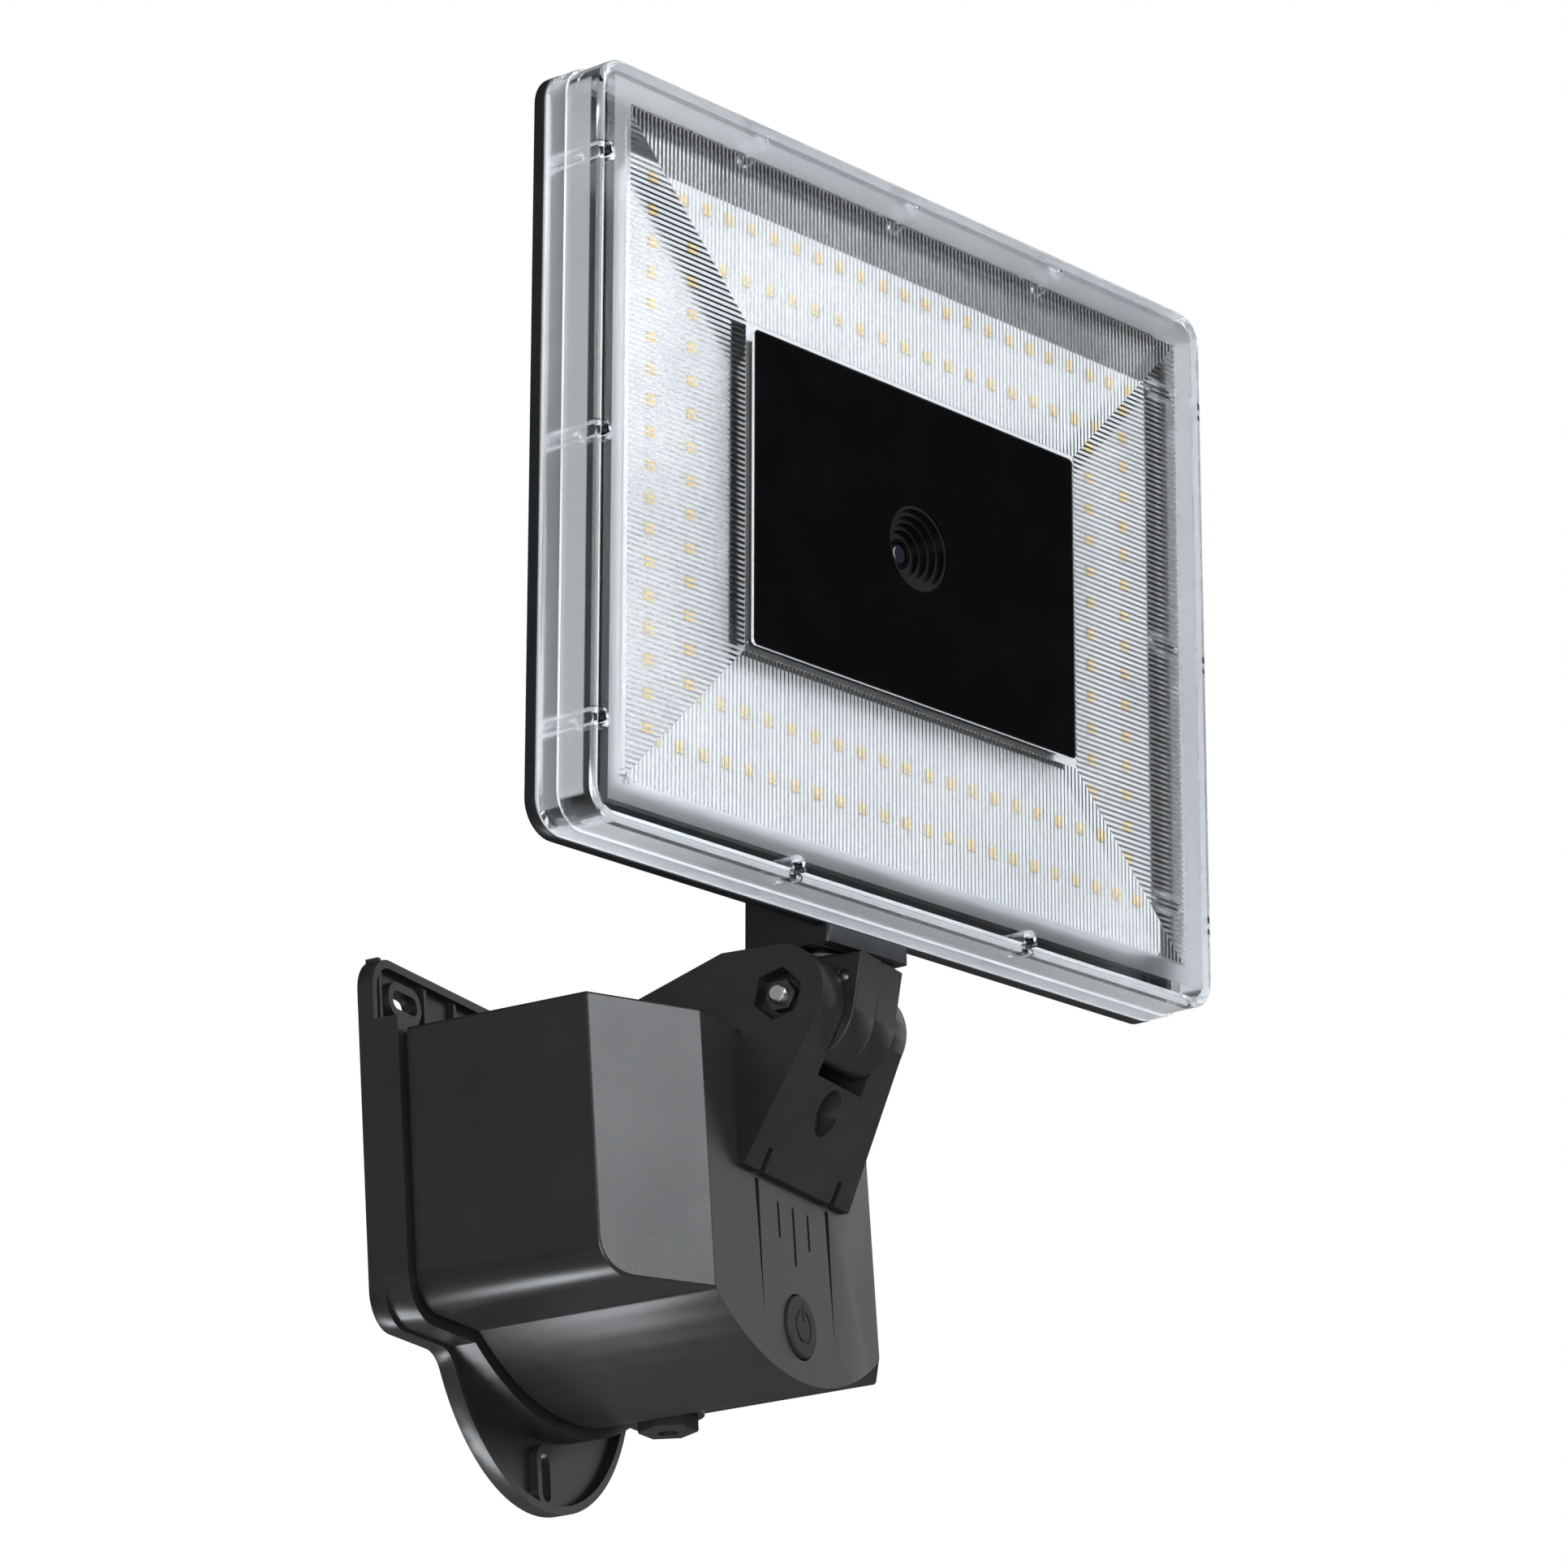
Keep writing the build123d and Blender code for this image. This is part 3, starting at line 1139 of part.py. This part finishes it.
PIECES = {
    "rear_casing": rear_casing,
    "casing_gasket": casing_gasket,
    "rear_grommet": rear_grommet,
    "front_shell": front_shell,
    "cable_gland": cable_gland,
    "shell_screws": shell_screws,
    "control_board": control_board,
    "board_screws": board_screws,
    "transformer": transformer,
    "capacitors": capacitors,
    "relay": relay,
    "radio_module": radio_module,
    "terminal_block": terminal_block,
    "speaker": speaker,
    "speaker_mesh": speaker_mesh,
    "switch_board": switch_board,
    "button_switch": button_switch,
    "power_button": power_button,
    "fork_arm": fork_arm,
    "arm_screw": arm_screw,
    "pivot_bolt": pivot_bolt,
    "pivot_nut": pivot_nut,
    "pivot_washers": pivot_washers,
    "lug_left": lug_left,
    "lug_right": lug_right,
    "lug_screws": lug_screws,
    "pan_spigot": pan_spigot,
    "pan_washer": pan_washer,
    "pan_nut": pan_nut,
    "hinge_block": hinge_block,
    "hinge_block_screws": hinge_block_screws,
    "rear_housing": rear_housing,
    "cover_gasket": cover_gasket,
    "front_cover": front_cover,
    "cover_screws": cover_screws,
    "led_board": led_board,
    "leds": leds,
    "heat_spreader": heat_spreader,
    "camera_panel": camera_panel,
    "camera_box": camera_box,
    "camera_bezel": camera_bezel,
    "lens_barrel": lens_barrel,
    "front_lens": front_lens,
    "image_sensor": image_sensor,
    "camera_board": camera_board,
    "driver_board": driver_board,
    "driver_coils": driver_coils,
    "vent_plug": vent_plug,
}

for label, piece in PIECES.items():
    piece.part.label = label
    export_step(piece.part, f"parts/{label}.step")
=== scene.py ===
"""Looks of the floodlight security camera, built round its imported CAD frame."""

import json
from math import atan2, cos, pi, radians, sin

import bmesh
import bpy
from mathutils import Matrix, Vector


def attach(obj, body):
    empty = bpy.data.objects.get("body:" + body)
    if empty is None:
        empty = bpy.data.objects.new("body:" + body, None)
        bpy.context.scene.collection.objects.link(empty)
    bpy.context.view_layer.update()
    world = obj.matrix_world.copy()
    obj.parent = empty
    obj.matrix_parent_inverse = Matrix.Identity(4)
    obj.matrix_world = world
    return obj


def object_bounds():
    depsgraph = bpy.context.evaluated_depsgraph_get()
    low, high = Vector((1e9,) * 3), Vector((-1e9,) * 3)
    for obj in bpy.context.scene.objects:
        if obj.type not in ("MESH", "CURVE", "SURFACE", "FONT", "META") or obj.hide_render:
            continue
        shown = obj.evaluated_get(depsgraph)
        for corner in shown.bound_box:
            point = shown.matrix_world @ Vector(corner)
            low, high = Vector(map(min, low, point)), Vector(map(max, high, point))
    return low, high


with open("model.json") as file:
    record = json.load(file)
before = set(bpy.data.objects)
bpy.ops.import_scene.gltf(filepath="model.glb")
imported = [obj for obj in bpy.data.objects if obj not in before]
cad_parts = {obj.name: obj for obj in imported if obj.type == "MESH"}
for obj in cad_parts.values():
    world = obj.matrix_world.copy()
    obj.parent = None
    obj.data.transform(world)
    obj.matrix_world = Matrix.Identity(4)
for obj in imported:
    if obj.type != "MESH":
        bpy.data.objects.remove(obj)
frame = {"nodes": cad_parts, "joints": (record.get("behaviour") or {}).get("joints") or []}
CAD_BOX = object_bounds()
NODES = frame["nodes"]

# ---------------------------------------------------------------- camera and floor, metres
CAMERA_PLACE = (-1.474766, -0.770259, -0.433214)
CAMERA_FORWARD = (0.858732, 0.395796, 0.325461)
CAMERA_RIGHT = (0.436437, -0.897746, -0.059787)
SENSOR_WIDTH = 36.0
LENS_LENGTH = 140.23
FLOOR_HEIGHT = -0.62
FLOOR_SIZE = 12.0

# ---------------------------------------------------------------- light
SKY_SEEN = 1.0
SKY_LIGHT = 0.05
# Soft bright zones of the surroundings: direction, radius in degrees, strength
GLOWS = (
    ((0.90, -0.25, 0.33), 32.0, 0.72),
    ((0.86, 0.40, 0.36), 20.0, 0.35),
    ((-0.86, 0.40, 0.33), 40.0, 0.3),
)
LIGHT_TINT = (0.94, 0.97, 1.0)
# Soft lights: name, direction from the part, distance, width, brightness of the panel
SOFT_LIGHTS = (
    ("front_softbox", (0.06, -0.92, 0.38), 1.4, 0.80, 7.0),
    ("key_softbox", (-0.70, -0.70, 0.15), 1.5, 0.90, 1.0),
    ("fill_softbox", (-0.88, -0.40, -0.25), 1.6, 0.80, 7.5),
    ("top_softbox", (0.00, -0.10, 1.00), 1.3, 1.00, 0.7),
    ("low_softbox", (-0.10, 0.40, -0.91), 0.5, 0.14, 12.0),
)

# ---------------------------------------------------------------- the head's own frame, as in the CAD part
PAN_AT_REST = radians(-15.7)
HEAD_WIDTH = 0.262
HEAD_HEIGHT = 0.215
HEAD_FRONT = 0.0368
HEAD_CENTRE = 0.1289

# ---------------------------------------------------------------- zones of the clear cover
# Each zone fades in between two distances, in metres: depths behind the cover's front ...
FRONT_FACE = (0.0002, 0.0006)
RIB_LEVEL = (0.0024, 0.0027)
WALL_TOP = (0.0035, 0.0042)
FLANGE_TOP = (0.0124, 0.0127)
# ... and distances in from its outline
OUTER_SKIN = (0.0002, 0.0006)
BORDER_OUTER = (0.0050, 0.0056)
BORDER_INNER = (0.0116, 0.0120)
RIB_OUTER = (0.0112, 0.0116)
# Roughness added in a zone
BORDER_FROST = 0.35
WALL_FROST = 0.26
FLANGE_FROST = 0.5
RIB_FROST = 0.10
# Share of light a zone scatters as milky plastic does
WALL_MILK = 0.65
FLANGE_MILK = 0.15
COVER_IOR = 1.585
COVER_TINTS = ((0.93, 0.95, 0.96), (0.98, 0.985, 0.99))
COVER_SHADE = (0.85, 0.86, 0.87)
MILK_COLOUR = (0.90, 0.91, 0.92)
SHADOW_TINT = (0.93, 0.94, 0.95)
COVER_GRAIN_DEPTH = 0.00006

# ---------------------------------------------------------------- fine detail, metres
# Width of the rounding on a CAD node's hard edges
SOFT_EDGES = {
    "fork_arm": 0.0012,
    "lug_left": 0.0006,
    "lug_right": 0.0006,
    "hinge_block": 0.0008,
    "rear_casing": 0.0005,
    "front_shell": 0.0004,
    "rear_housing": 0.0006,
}
SHARP_ANGLE = radians(35.0)
FLAT_ANGLE = radians(0.4)
WELD_DISTANCE = 0.000002
PHOSPHOR_RADIUS = 0.0013
PHOSPHOR_FLATTENING = 0.35
PHOSPHOR_BASE = 0.0003
THREAD_START = -0.0255
THREAD_TURNS = 2.6
THREAD_STEPS = 36
THREAD_PITCH = 0.0008
THREAD_ROOT = 0.00245
THREAD_CREST = 0.00268

# Where most of a noise texture's values lie
NOISE_LOW = 0.3
NOISE_HIGH = 0.7

pan_joint = next(joint for joint in frame["joints"] if joint["name"] == "pan")
PIVOT = Vector(pan_joint["pos_m"])
LEAN = atan2(-pan_joint["axis"][1], pan_joint["axis"][2])
HEAD_TURN = Matrix.Rotation(LEAN, 3, "X") @ Matrix.Rotation(PAN_AT_REST, 3, "Z")


# ---------------------------------------------------------------- material helpers
class Finish:
    """A procedural material in the making: its node tree, its shader and its coordinates."""

    def __init__(self, name):
        self.material = bpy.data.materials.new(name)
        self.material.use_nodes = True
        self.tree = self.material.node_tree
        self.shader = self.tree.nodes["Principled BSDF"]
        self.output = self.tree.nodes["Material Output"]
        self.place = self.add("ShaderNodeTexCoord").outputs["Object"]

    def add(self, kind, **settings):
        """Add a node; settings are its properties."""
        node = self.tree.nodes.new(kind)
        for key, value in settings.items():
            setattr(node, key, value)
        return node

    def link(self, start, end):
        self.tree.links.new(start, end)

    def set(self, **sockets):
        """Set the shader's own sockets, with underscores for spaces."""
        for key, value in sockets.items():
            self.shader.inputs[key.replace("_", " ")].default_value = value

    def noise(self, scale, detail=3.0):
        """Noise over the object's own coordinates; scale is in features per metre."""
        noise = self.add("ShaderNodeTexNoise")
        noise.inputs["Scale"].default_value = scale
        noise.inputs["Detail"].default_value = detail
        noise.inputs["Roughness"].default_value = 0.55
        self.link(self.place, noise.inputs["Vector"])
        return noise.outputs["Fac"]

    def ramp(self, noise, low, high):
        """Blend two colours over the noise's middle range."""
        ramp = self.add("ShaderNodeValToRGB")
        ramp.color_ramp.elements[0].position = NOISE_LOW
        ramp.color_ramp.elements[0].color = (*low, 1)
        ramp.color_ramp.elements[1].position = NOISE_HIGH
        ramp.color_ramp.elements[1].color = (*high, 1)
        self.link(noise, ramp.inputs["Fac"])
        return ramp.outputs["Color"]

    def between(self, noise, low, high):
        """Spread a pair of numbers over the noise's middle range."""
        spread = self.add("ShaderNodeMapRange")
        spread.inputs["From Min"].default_value = NOISE_LOW
        spread.inputs["From Max"].default_value = NOISE_HIGH
        spread.inputs["To Min"].default_value = low
        spread.inputs["To Max"].default_value = high
        self.link(noise, spread.inputs["Value"])
        return spread.outputs["Result"]

    def bump(self, noise, strength, depth):
        """Raise the surface by the noise, to a depth in metres; strength is a number or a socket."""
        bump = self.add("ShaderNodeBump")
        bump.inputs["Distance"].default_value = depth
        self.feed(strength, bump.inputs["Strength"])
        self.link(noise, bump.inputs["Height"])
        return bump.outputs["Normal"]

    def feed(self, value, socket):
        """Give a socket a number or link another socket to it."""
        if isinstance(value, (int, float)):
            socket.default_value = value
        else:
            self.link(value, socket)

    def compute(self, operation, first, second):
        """Math node on two values, each a socket or a number."""
        node = self.add("ShaderNodeMath", operation=operation)
        self.feed(first, node.inputs[0])
        self.feed(second, node.inputs[1])
        return node.outputs["Value"]

    def product(self, first, second):
        return self.compute("MULTIPLY", first, second)

    def larger(self, first, second):
        return self.compute("MAXIMUM", first, second)

    def fade_in(self, value, span):
        """Soft step from 0 to 1 while the value crosses a span."""
        return self.soft_step(value, span, 0.0, 1.0)

    def fade_out(self, value, span):
        """Soft step from 1 to 0 while the value crosses a span."""
        return self.soft_step(value, span, 1.0, 0.0)

    def soft_step(self, value, span, low, high):
        node = self.add("ShaderNodeMapRange", interpolation_type="SMOOTHSTEP")
        for key, number in zip(("From Min", "From Max", "To Min", "To Max"), (*span, low, high)):
            node.inputs[key].default_value = number
        self.link(value, node.inputs["Value"])
        return node.outputs["Result"]

    def blend(self, factor, first, second):
        """Mix two shaders by a factor."""
        mix = self.add("ShaderNodeMixShader")
        self.link(factor, mix.inputs["Fac"])
        self.link(first, mix.inputs[1])
        self.link(second, mix.inputs[2])
        return mix.outputs["Shader"]


def plain_finish(name, dark, light, rough, grain, grain_depth, blotch=40.0, **sockets):
    """Surface with slow colour blotches, uneven roughness and a fine grain."""
    finish = Finish(name)
    slow = finish.noise(blotch)
    fine = finish.noise(grain, detail=2.0)
    finish.link(finish.ramp(slow, dark, light), finish.shader.inputs["Base Color"])
    finish.link(finish.between(slow, *rough), finish.shader.inputs["Roughness"])
    if grain_depth:
        finish.link(finish.bump(fine, 0.6, grain_depth), finish.shader.inputs["Normal"])
    finish.set(**sockets)
    return finish


def cover_place(finish):
    """Depth behind the head's front plane and distance in from the cover's outline."""
    mapping = finish.add("ShaderNodeMapping", vector_type="TEXTURE")
    mapping.inputs["Location"].default_value = PIVOT
    mapping.inputs["Rotation"].default_value = HEAD_TURN.to_euler("XYZ")
    finish.link(finish.place, mapping.inputs["Vector"])
    split = finish.add("ShaderNodeSeparateXYZ")
    finish.link(mapping.outputs["Vector"], split.inputs["Vector"])
    depth = finish.compute("ADD", split.outputs["Y"], HEAD_FRONT)
    across = finish.compute("ABSOLUTE", split.outputs["X"], 0.0)
    height = finish.compute("SUBTRACT", split.outputs["Z"], HEAD_CENTRE)
    upward = finish.compute("ABSOLUTE", height, 0.0)
    side = finish.compute("SUBTRACT", HEAD_WIDTH / 2, across)
    end = finish.compute("SUBTRACT", HEAD_HEIGHT / 2, upward)
    return depth, finish.compute("MINIMUM", side, end)


def cover_zones(finish):
    """Masks of the plain border, the outer wall, the foot flange and the ribs of the clear cover."""
    depth, inset = cover_place(finish)
    border = finish.product(finish.fade_in(inset, BORDER_OUTER), finish.fade_out(inset, BORDER_INNER))
    border = finish.product(border, finish.fade_out(depth, FRONT_FACE))
    outside = finish.fade_out(inset, OUTER_SKIN)
    wall = finish.product(outside, finish.fade_in(depth, WALL_TOP))
    flange = finish.product(outside, finish.fade_in(depth, FLANGE_TOP))
    ribs = finish.product(finish.fade_in(inset, RIB_OUTER), finish.fade_in(depth, RIB_LEVEL))
    return border, wall, flange, ribs


def clear_plastic(name, rough):
    """Clear moulded polycarbonate with a frosted border, wall and flange."""
    finish = Finish(name)
    slow = finish.noise(25.0)
    fine = finish.noise(1800.0, detail=2.0)
    border, wall, flange, ribs = cover_zones(finish)

    shade = finish.add("ShaderNodeMix", data_type="RGBA", blend_type="MULTIPLY")
    shade.inputs["B"].default_value = (*COVER_SHADE, 1)
    finish.link(finish.larger(border, flange), shade.inputs["Factor"])
    finish.link(finish.ramp(slow, *COVER_TINTS), shade.inputs["A"])
    finish.link(shade.outputs["Result"], finish.shader.inputs["Base Color"])

    frost = finish.product(border, BORDER_FROST)
    for zone, roughness in ((wall, WALL_FROST), (flange, FLANGE_FROST), (ribs, RIB_FROST)):
        frost = finish.larger(frost, finish.product(zone, roughness))
    uneven = finish.compute("ADD", frost, finish.between(slow, *rough))
    finish.link(uneven, finish.shader.inputs["Roughness"])
    finish.link(finish.bump(fine, frost, COVER_GRAIN_DEPTH), finish.shader.inputs["Normal"])
    finish.set(Transmission_Weight=1.0, IOR=COVER_IOR)

    milk = finish.add("ShaderNodeBsdfDiffuse")
    milk.inputs["Color"].default_value = (*MILK_COLOUR, 1)
    haze = finish.product(finish.compute("SUBTRACT", wall, flange), WALL_MILK)
    haze = finish.compute("ADD", haze, finish.product(flange, FLANGE_MILK))
    body = finish.blend(haze, finish.shader.outputs["BSDF"], milk.outputs["BSDF"])

    clear = finish.add("ShaderNodeBsdfTransparent")
    clear.inputs["Color"].default_value = (*SHADOW_TINT, 1)
    ray = finish.add("ShaderNodeLightPath")
    body = finish.blend(ray.outputs["Is Shadow Ray"], body, clear.outputs["BSDF"])
    finish.link(body, finish.output.inputs["Surface"])
    return finish


def metal(name, dark, light, rough):
    """Bare metal with a fine uneven polish."""
    return plain_finish(name, dark, light, rough, 900.0, 0.00002, blotch=120.0, Metallic=1.0)


FINISHES = {
    "black_plastic": plain_finish(
        "black_plastic", (0.013, 0.014, 0.015), (0.018, 0.019, 0.0205), (0.30, 0.36), 2600.0, 0.00005
    ),
    "black_satin": plain_finish(
        "black_satin", (0.010, 0.0105, 0.011), (0.015, 0.0155, 0.016), (0.28, 0.36), 2200.0, 0.00003
    ),
    "clear_cover": clear_plastic("clear_cover", (0.0, 0.03)),
    "white_gasket": plain_finish(
        "white_gasket", (0.70, 0.71, 0.71), (0.80, 0.80, 0.79), (0.45, 0.55), 1500.0, 0.00003
    ),
    "black_rubber": plain_finish(
        "black_rubber", (0.012, 0.012, 0.012), (0.02, 0.02, 0.02), (0.6, 0.75), 1800.0, 0.00004
    ),
    "white_board": plain_finish(
        "white_board", (0.46, 0.47, 0.48), (0.52, 0.52, 0.52), (0.35, 0.5), 1200.0, 0.00002
    ),
    "green_board": plain_finish(
        "green_board", (0.01, 0.11, 0.04), (0.015, 0.16, 0.06), (0.3, 0.4), 1200.0, 0.00002
    ),
    "led_yellow": plain_finish(
        "led_yellow", (0.60, 0.44, 0.19), (0.66, 0.50, 0.24), (0.25, 0.4), 1500.0, 0.00002
    ),
    "steel": metal("steel", (0.55, 0.55, 0.54), (0.70, 0.70, 0.69), (0.18, 0.3)),
    "dark_steel": metal("dark_steel", (0.06, 0.06, 0.065), (0.12, 0.12, 0.12), (0.3, 0.42)),
    "aluminium": metal("aluminium", (0.65, 0.66, 0.67), (0.8, 0.8, 0.81), (0.28, 0.4)),
    "gloss_black": plain_finish(
        "gloss_black", (0.0015, 0.0015, 0.0018), (0.003, 0.003, 0.0035), (0.06, 0.1), 400.0, 0.0,
        Specular_IOR_Level=0.2
    ),
    "lens_glass": plain_finish(
        "lens_glass", (0.01, 0.012, 0.02), (0.02, 0.016, 0.03), (0.02, 0.04), 400.0, 0.0
    ),
    "component_grey": plain_finish(
        "component_grey", (0.05, 0.052, 0.055), (0.09, 0.09, 0.095), (0.45, 0.6), 1500.0, 0.00004
    ),
}

# Nodes that look unlike the rest of their slot: the camera bezel is a glossier black, and its colour, darker
# than the other black plastic, is painted shade of the deep camera recess
OWN_FINISHES_AND_SHADE = {
    "camera_bezel": plain_finish(
        "bezel_black_painted_shade", (0.003, 0.003, 0.0035), (0.005, 0.005, 0.0055), (0.22, 0.3), 900.0, 0.00001,
        Specular_IOR_Level=0.25
    ),
}

for name, node in NODES.items():
    for material_slot in node.material_slots:
        slot_name = material_slot.material.name.split(".")[0]
        material_slot.material = OWN_FINISHES_AND_SHADE.get(name, FINISHES[slot_name]).material


# ---------------------------------------------------------------- softened edges
def soften(node, width):
    """Round a CAD node's hard edges by a small width."""
    weld = node.modifiers.new("weld", "WELD")
    weld.merge_threshold = WELD_DISTANCE
    flat = node.modifiers.new("flat", "DECIMATE")
    flat.decimate_type = "DISSOLVE"
    flat.angle_limit = FLAT_ANGLE
    bevel = node.modifiers.new("edge", "BEVEL")
    bevel.width = width
    bevel.segments = 3
    bevel.limit_method = "ANGLE"
    bevel.angle_limit = SHARP_ANGLE
    bevel.harden_normals = True


for name, width in SOFT_EDGES.items():
    soften(NODES[name], width)


# ---------------------------------------------------------------- fine pieces the CAD leaves plain
def ride_piece(mesh, name, body, finish):
    """Link a mesh as a fine piece that rides on a body."""
    piece = bpy.data.objects.new(name, mesh)
    bpy.context.collection.objects.link(piece)
    mesh.materials.append(finish.material)
    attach(piece, body)
    return piece


def loose_centres(node):
    """Centres of the separate bodies in a node's mesh, in the frame of the part."""
    shape = bmesh.new()
    shape.from_mesh(node.data)
    bmesh.ops.remove_doubles(shape, verts=shape.verts, dist=0.00001)
    waiting = set(shape.verts)
    centres = []
    while waiting:
        group = {waiting.pop()}
        reached = list(group)
        while reached:
            vertex = reached.pop()
            for edge in vertex.link_edges:
                other = edge.other_vert(vertex)
                if other in waiting:
                    waiting.remove(other)
                    group.add(other)
                    reached.append(other)
        middle = sum((vertex.co for vertex in group), Vector()) / len(group)
        centres.append(node.matrix_world @ middle)
    shape.free()
    return centres


def phosphor():
    """Low round yellow dome on top of each LED."""
    shape = bmesh.new()
    turn = HEAD_TURN.to_4x4() @ Matrix.Rotation(pi / 2, 4, "X")
    dome = turn @ Matrix.Diagonal((1, 1, PHOSPHOR_FLATTENING, 1))
    out = HEAD_TURN @ Vector((0, -1, 0))
    for centre in loose_centres(NODES["leds"]):
        place = Matrix.Translation(centre + out * PHOSPHOR_BASE) @ dome
        bmesh.ops.create_uvsphere(shape, u_segments=16, v_segments=8, radius=PHOSPHOR_RADIUS, matrix=place)
    mesh = bpy.data.meshes.new("led_phosphor")
    shape.to_mesh(mesh)
    shape.free()
    mesh.shade_smooth()
    ride_piece(mesh, "led_phosphor", "head", FINISHES["led_yellow"])


def bolt_thread():
    """Screw thread on the visible end of the tilt bolt."""
    steps = int(THREAD_TURNS * THREAD_STEPS)
    profile = ((-0.5, THREAD_ROOT), (0.0, THREAD_CREST), (0.5, THREAD_ROOT))
    mesh = bpy.data.meshes.new("bolt_thread")
    points = []
    faces = []
    for index in range(steps + 1):
        angle = 2 * pi * index / THREAD_STEPS
        for along, radius in profile:
            x = THREAD_START - THREAD_PITCH * (index / THREAD_STEPS + along)
            points.append((x, PIVOT.y + radius * cos(angle), PIVOT.z + radius * sin(angle)))
        if index:
            first = 3 * (index - 1)
            faces += [(first, first + 1, first + 4, first + 3), (first + 1, first + 2, first + 5, first + 4)]
    mesh.from_pydata(points, [], faces)
    ride_piece(mesh, "bolt_thread", "wall_unit", FINISHES["steel"])


phosphor()
bolt_thread()


# ---------------------------------------------------------------- stage
def floor():
    """Plain pale floor well below the part."""
    half = FLOOR_SIZE / 2
    mesh = bpy.data.meshes.new("floor")
    corners = [(-half, -half, FLOOR_HEIGHT), (half, -half, FLOOR_HEIGHT), (half, half, FLOOR_HEIGHT)]
    mesh.from_pydata(corners + [(-half, half, FLOOR_HEIGHT)], [], [(0, 1, 2, 3)])
    ground = bpy.data.objects.new("floor", mesh)
    bpy.context.collection.objects.link(ground)
    dark = (0.60, 0.60, 0.60)
    light = (0.64, 0.64, 0.64)
    finish = plain_finish("floor", dark, light, (0.7, 0.8), 60.0, 0.0001, blotch=1.5)
    mesh.materials.append(finish.material)


def soft_light(name, towards, distance, width, brightness, target):
    """Square soft light placed in a direction from the target and facing it."""
    lamp = bpy.data.lights.new(name, "AREA")
    lamp.size = width
    lamp.energy = brightness * pi * width**2
    lamp.color = LIGHT_TINT
    holder = bpy.data.objects.new(name, lamp)
    direction = Vector(towards).normalized()
    holder.location = target + direction * distance
    holder.rotation_euler = direction.to_track_quat("Z", "Y").to_euler()
    holder.visible_camera = False
    bpy.context.collection.objects.link(holder)


def sky():
    """White surroundings: bright behind the part and dimmer as light on it."""
    world = bpy.data.worlds.new("sky")
    bpy.context.scene.world = world
    world.use_nodes = True
    tree = world.node_tree
    background = tree.nodes["Background"]
    background.inputs["Color"].default_value = (1, 1, 1, 1)
    direction = tree.nodes.new("ShaderNodeTexCoord").outputs["Generated"]
    light = None
    for towards, radius, brightness in GLOWS:
        nearness = tree.nodes.new("ShaderNodeVectorMath")
        nearness.operation = "DOT_PRODUCT"
        nearness.inputs[1].default_value = Vector(towards).normalized()
        tree.links.new(direction, nearness.inputs[0])
        zone = tree.nodes.new("ShaderNodeMapRange")
        zone.interpolation_type = "SMOOTHSTEP"
        zone.inputs["From Min"].default_value = cos(radians(radius))
        zone.inputs["To Max"].default_value = brightness
        tree.links.new(nearness.outputs["Value"], zone.inputs["Value"])
        total = tree.nodes.new("ShaderNodeMath")
        total.inputs[1].default_value = SKY_LIGHT
        tree.links.new(zone.outputs["Result"], total.inputs[0])
        if light:
            tree.links.new(light, total.inputs[1])
        light = total.outputs["Value"]
    ray = tree.nodes.new("ShaderNodeLightPath")
    strength = tree.nodes.new("ShaderNodeMapRange")
    strength.inputs["To Max"].default_value = SKY_SEEN
    tree.links.new(ray.outputs["Is Camera Ray"], strength.inputs["Value"])
    tree.links.new(light, strength.inputs["To Min"])
    tree.links.new(strength.outputs["Result"], background.inputs["Strength"])


def camera():
    """Camera at the photograph's viewing angle."""
    forward = Vector(CAMERA_FORWARD).normalized()
    right = Vector(CAMERA_RIGHT).normalized()
    up = right.cross(forward)
    lens = bpy.data.cameras.new("camera")
    lens.sensor_width = SENSOR_WIDTH
    lens.lens = LENS_LENGTH
    lens.clip_start = 0.05
    lens.clip_end = 50.0
    holder = bpy.data.objects.new("camera", lens)
    axes = Matrix((right, up, -forward)).transposed()
    holder.matrix_world = Matrix.Translation(CAMERA_PLACE) @ axes.to_4x4()
    bpy.context.collection.objects.link(holder)
    bpy.context.scene.camera = holder


floor()
sky()
camera()
low, high = CAD_BOX
middle = (Vector(low) + Vector(high)) / 2
for name, towards, distance, width, brightness in SOFT_LIGHTS:
    soft_light(name, towards, distance, width, brightness, middle)
bpy.context.scene.view_settings.view_transform = "Standard"
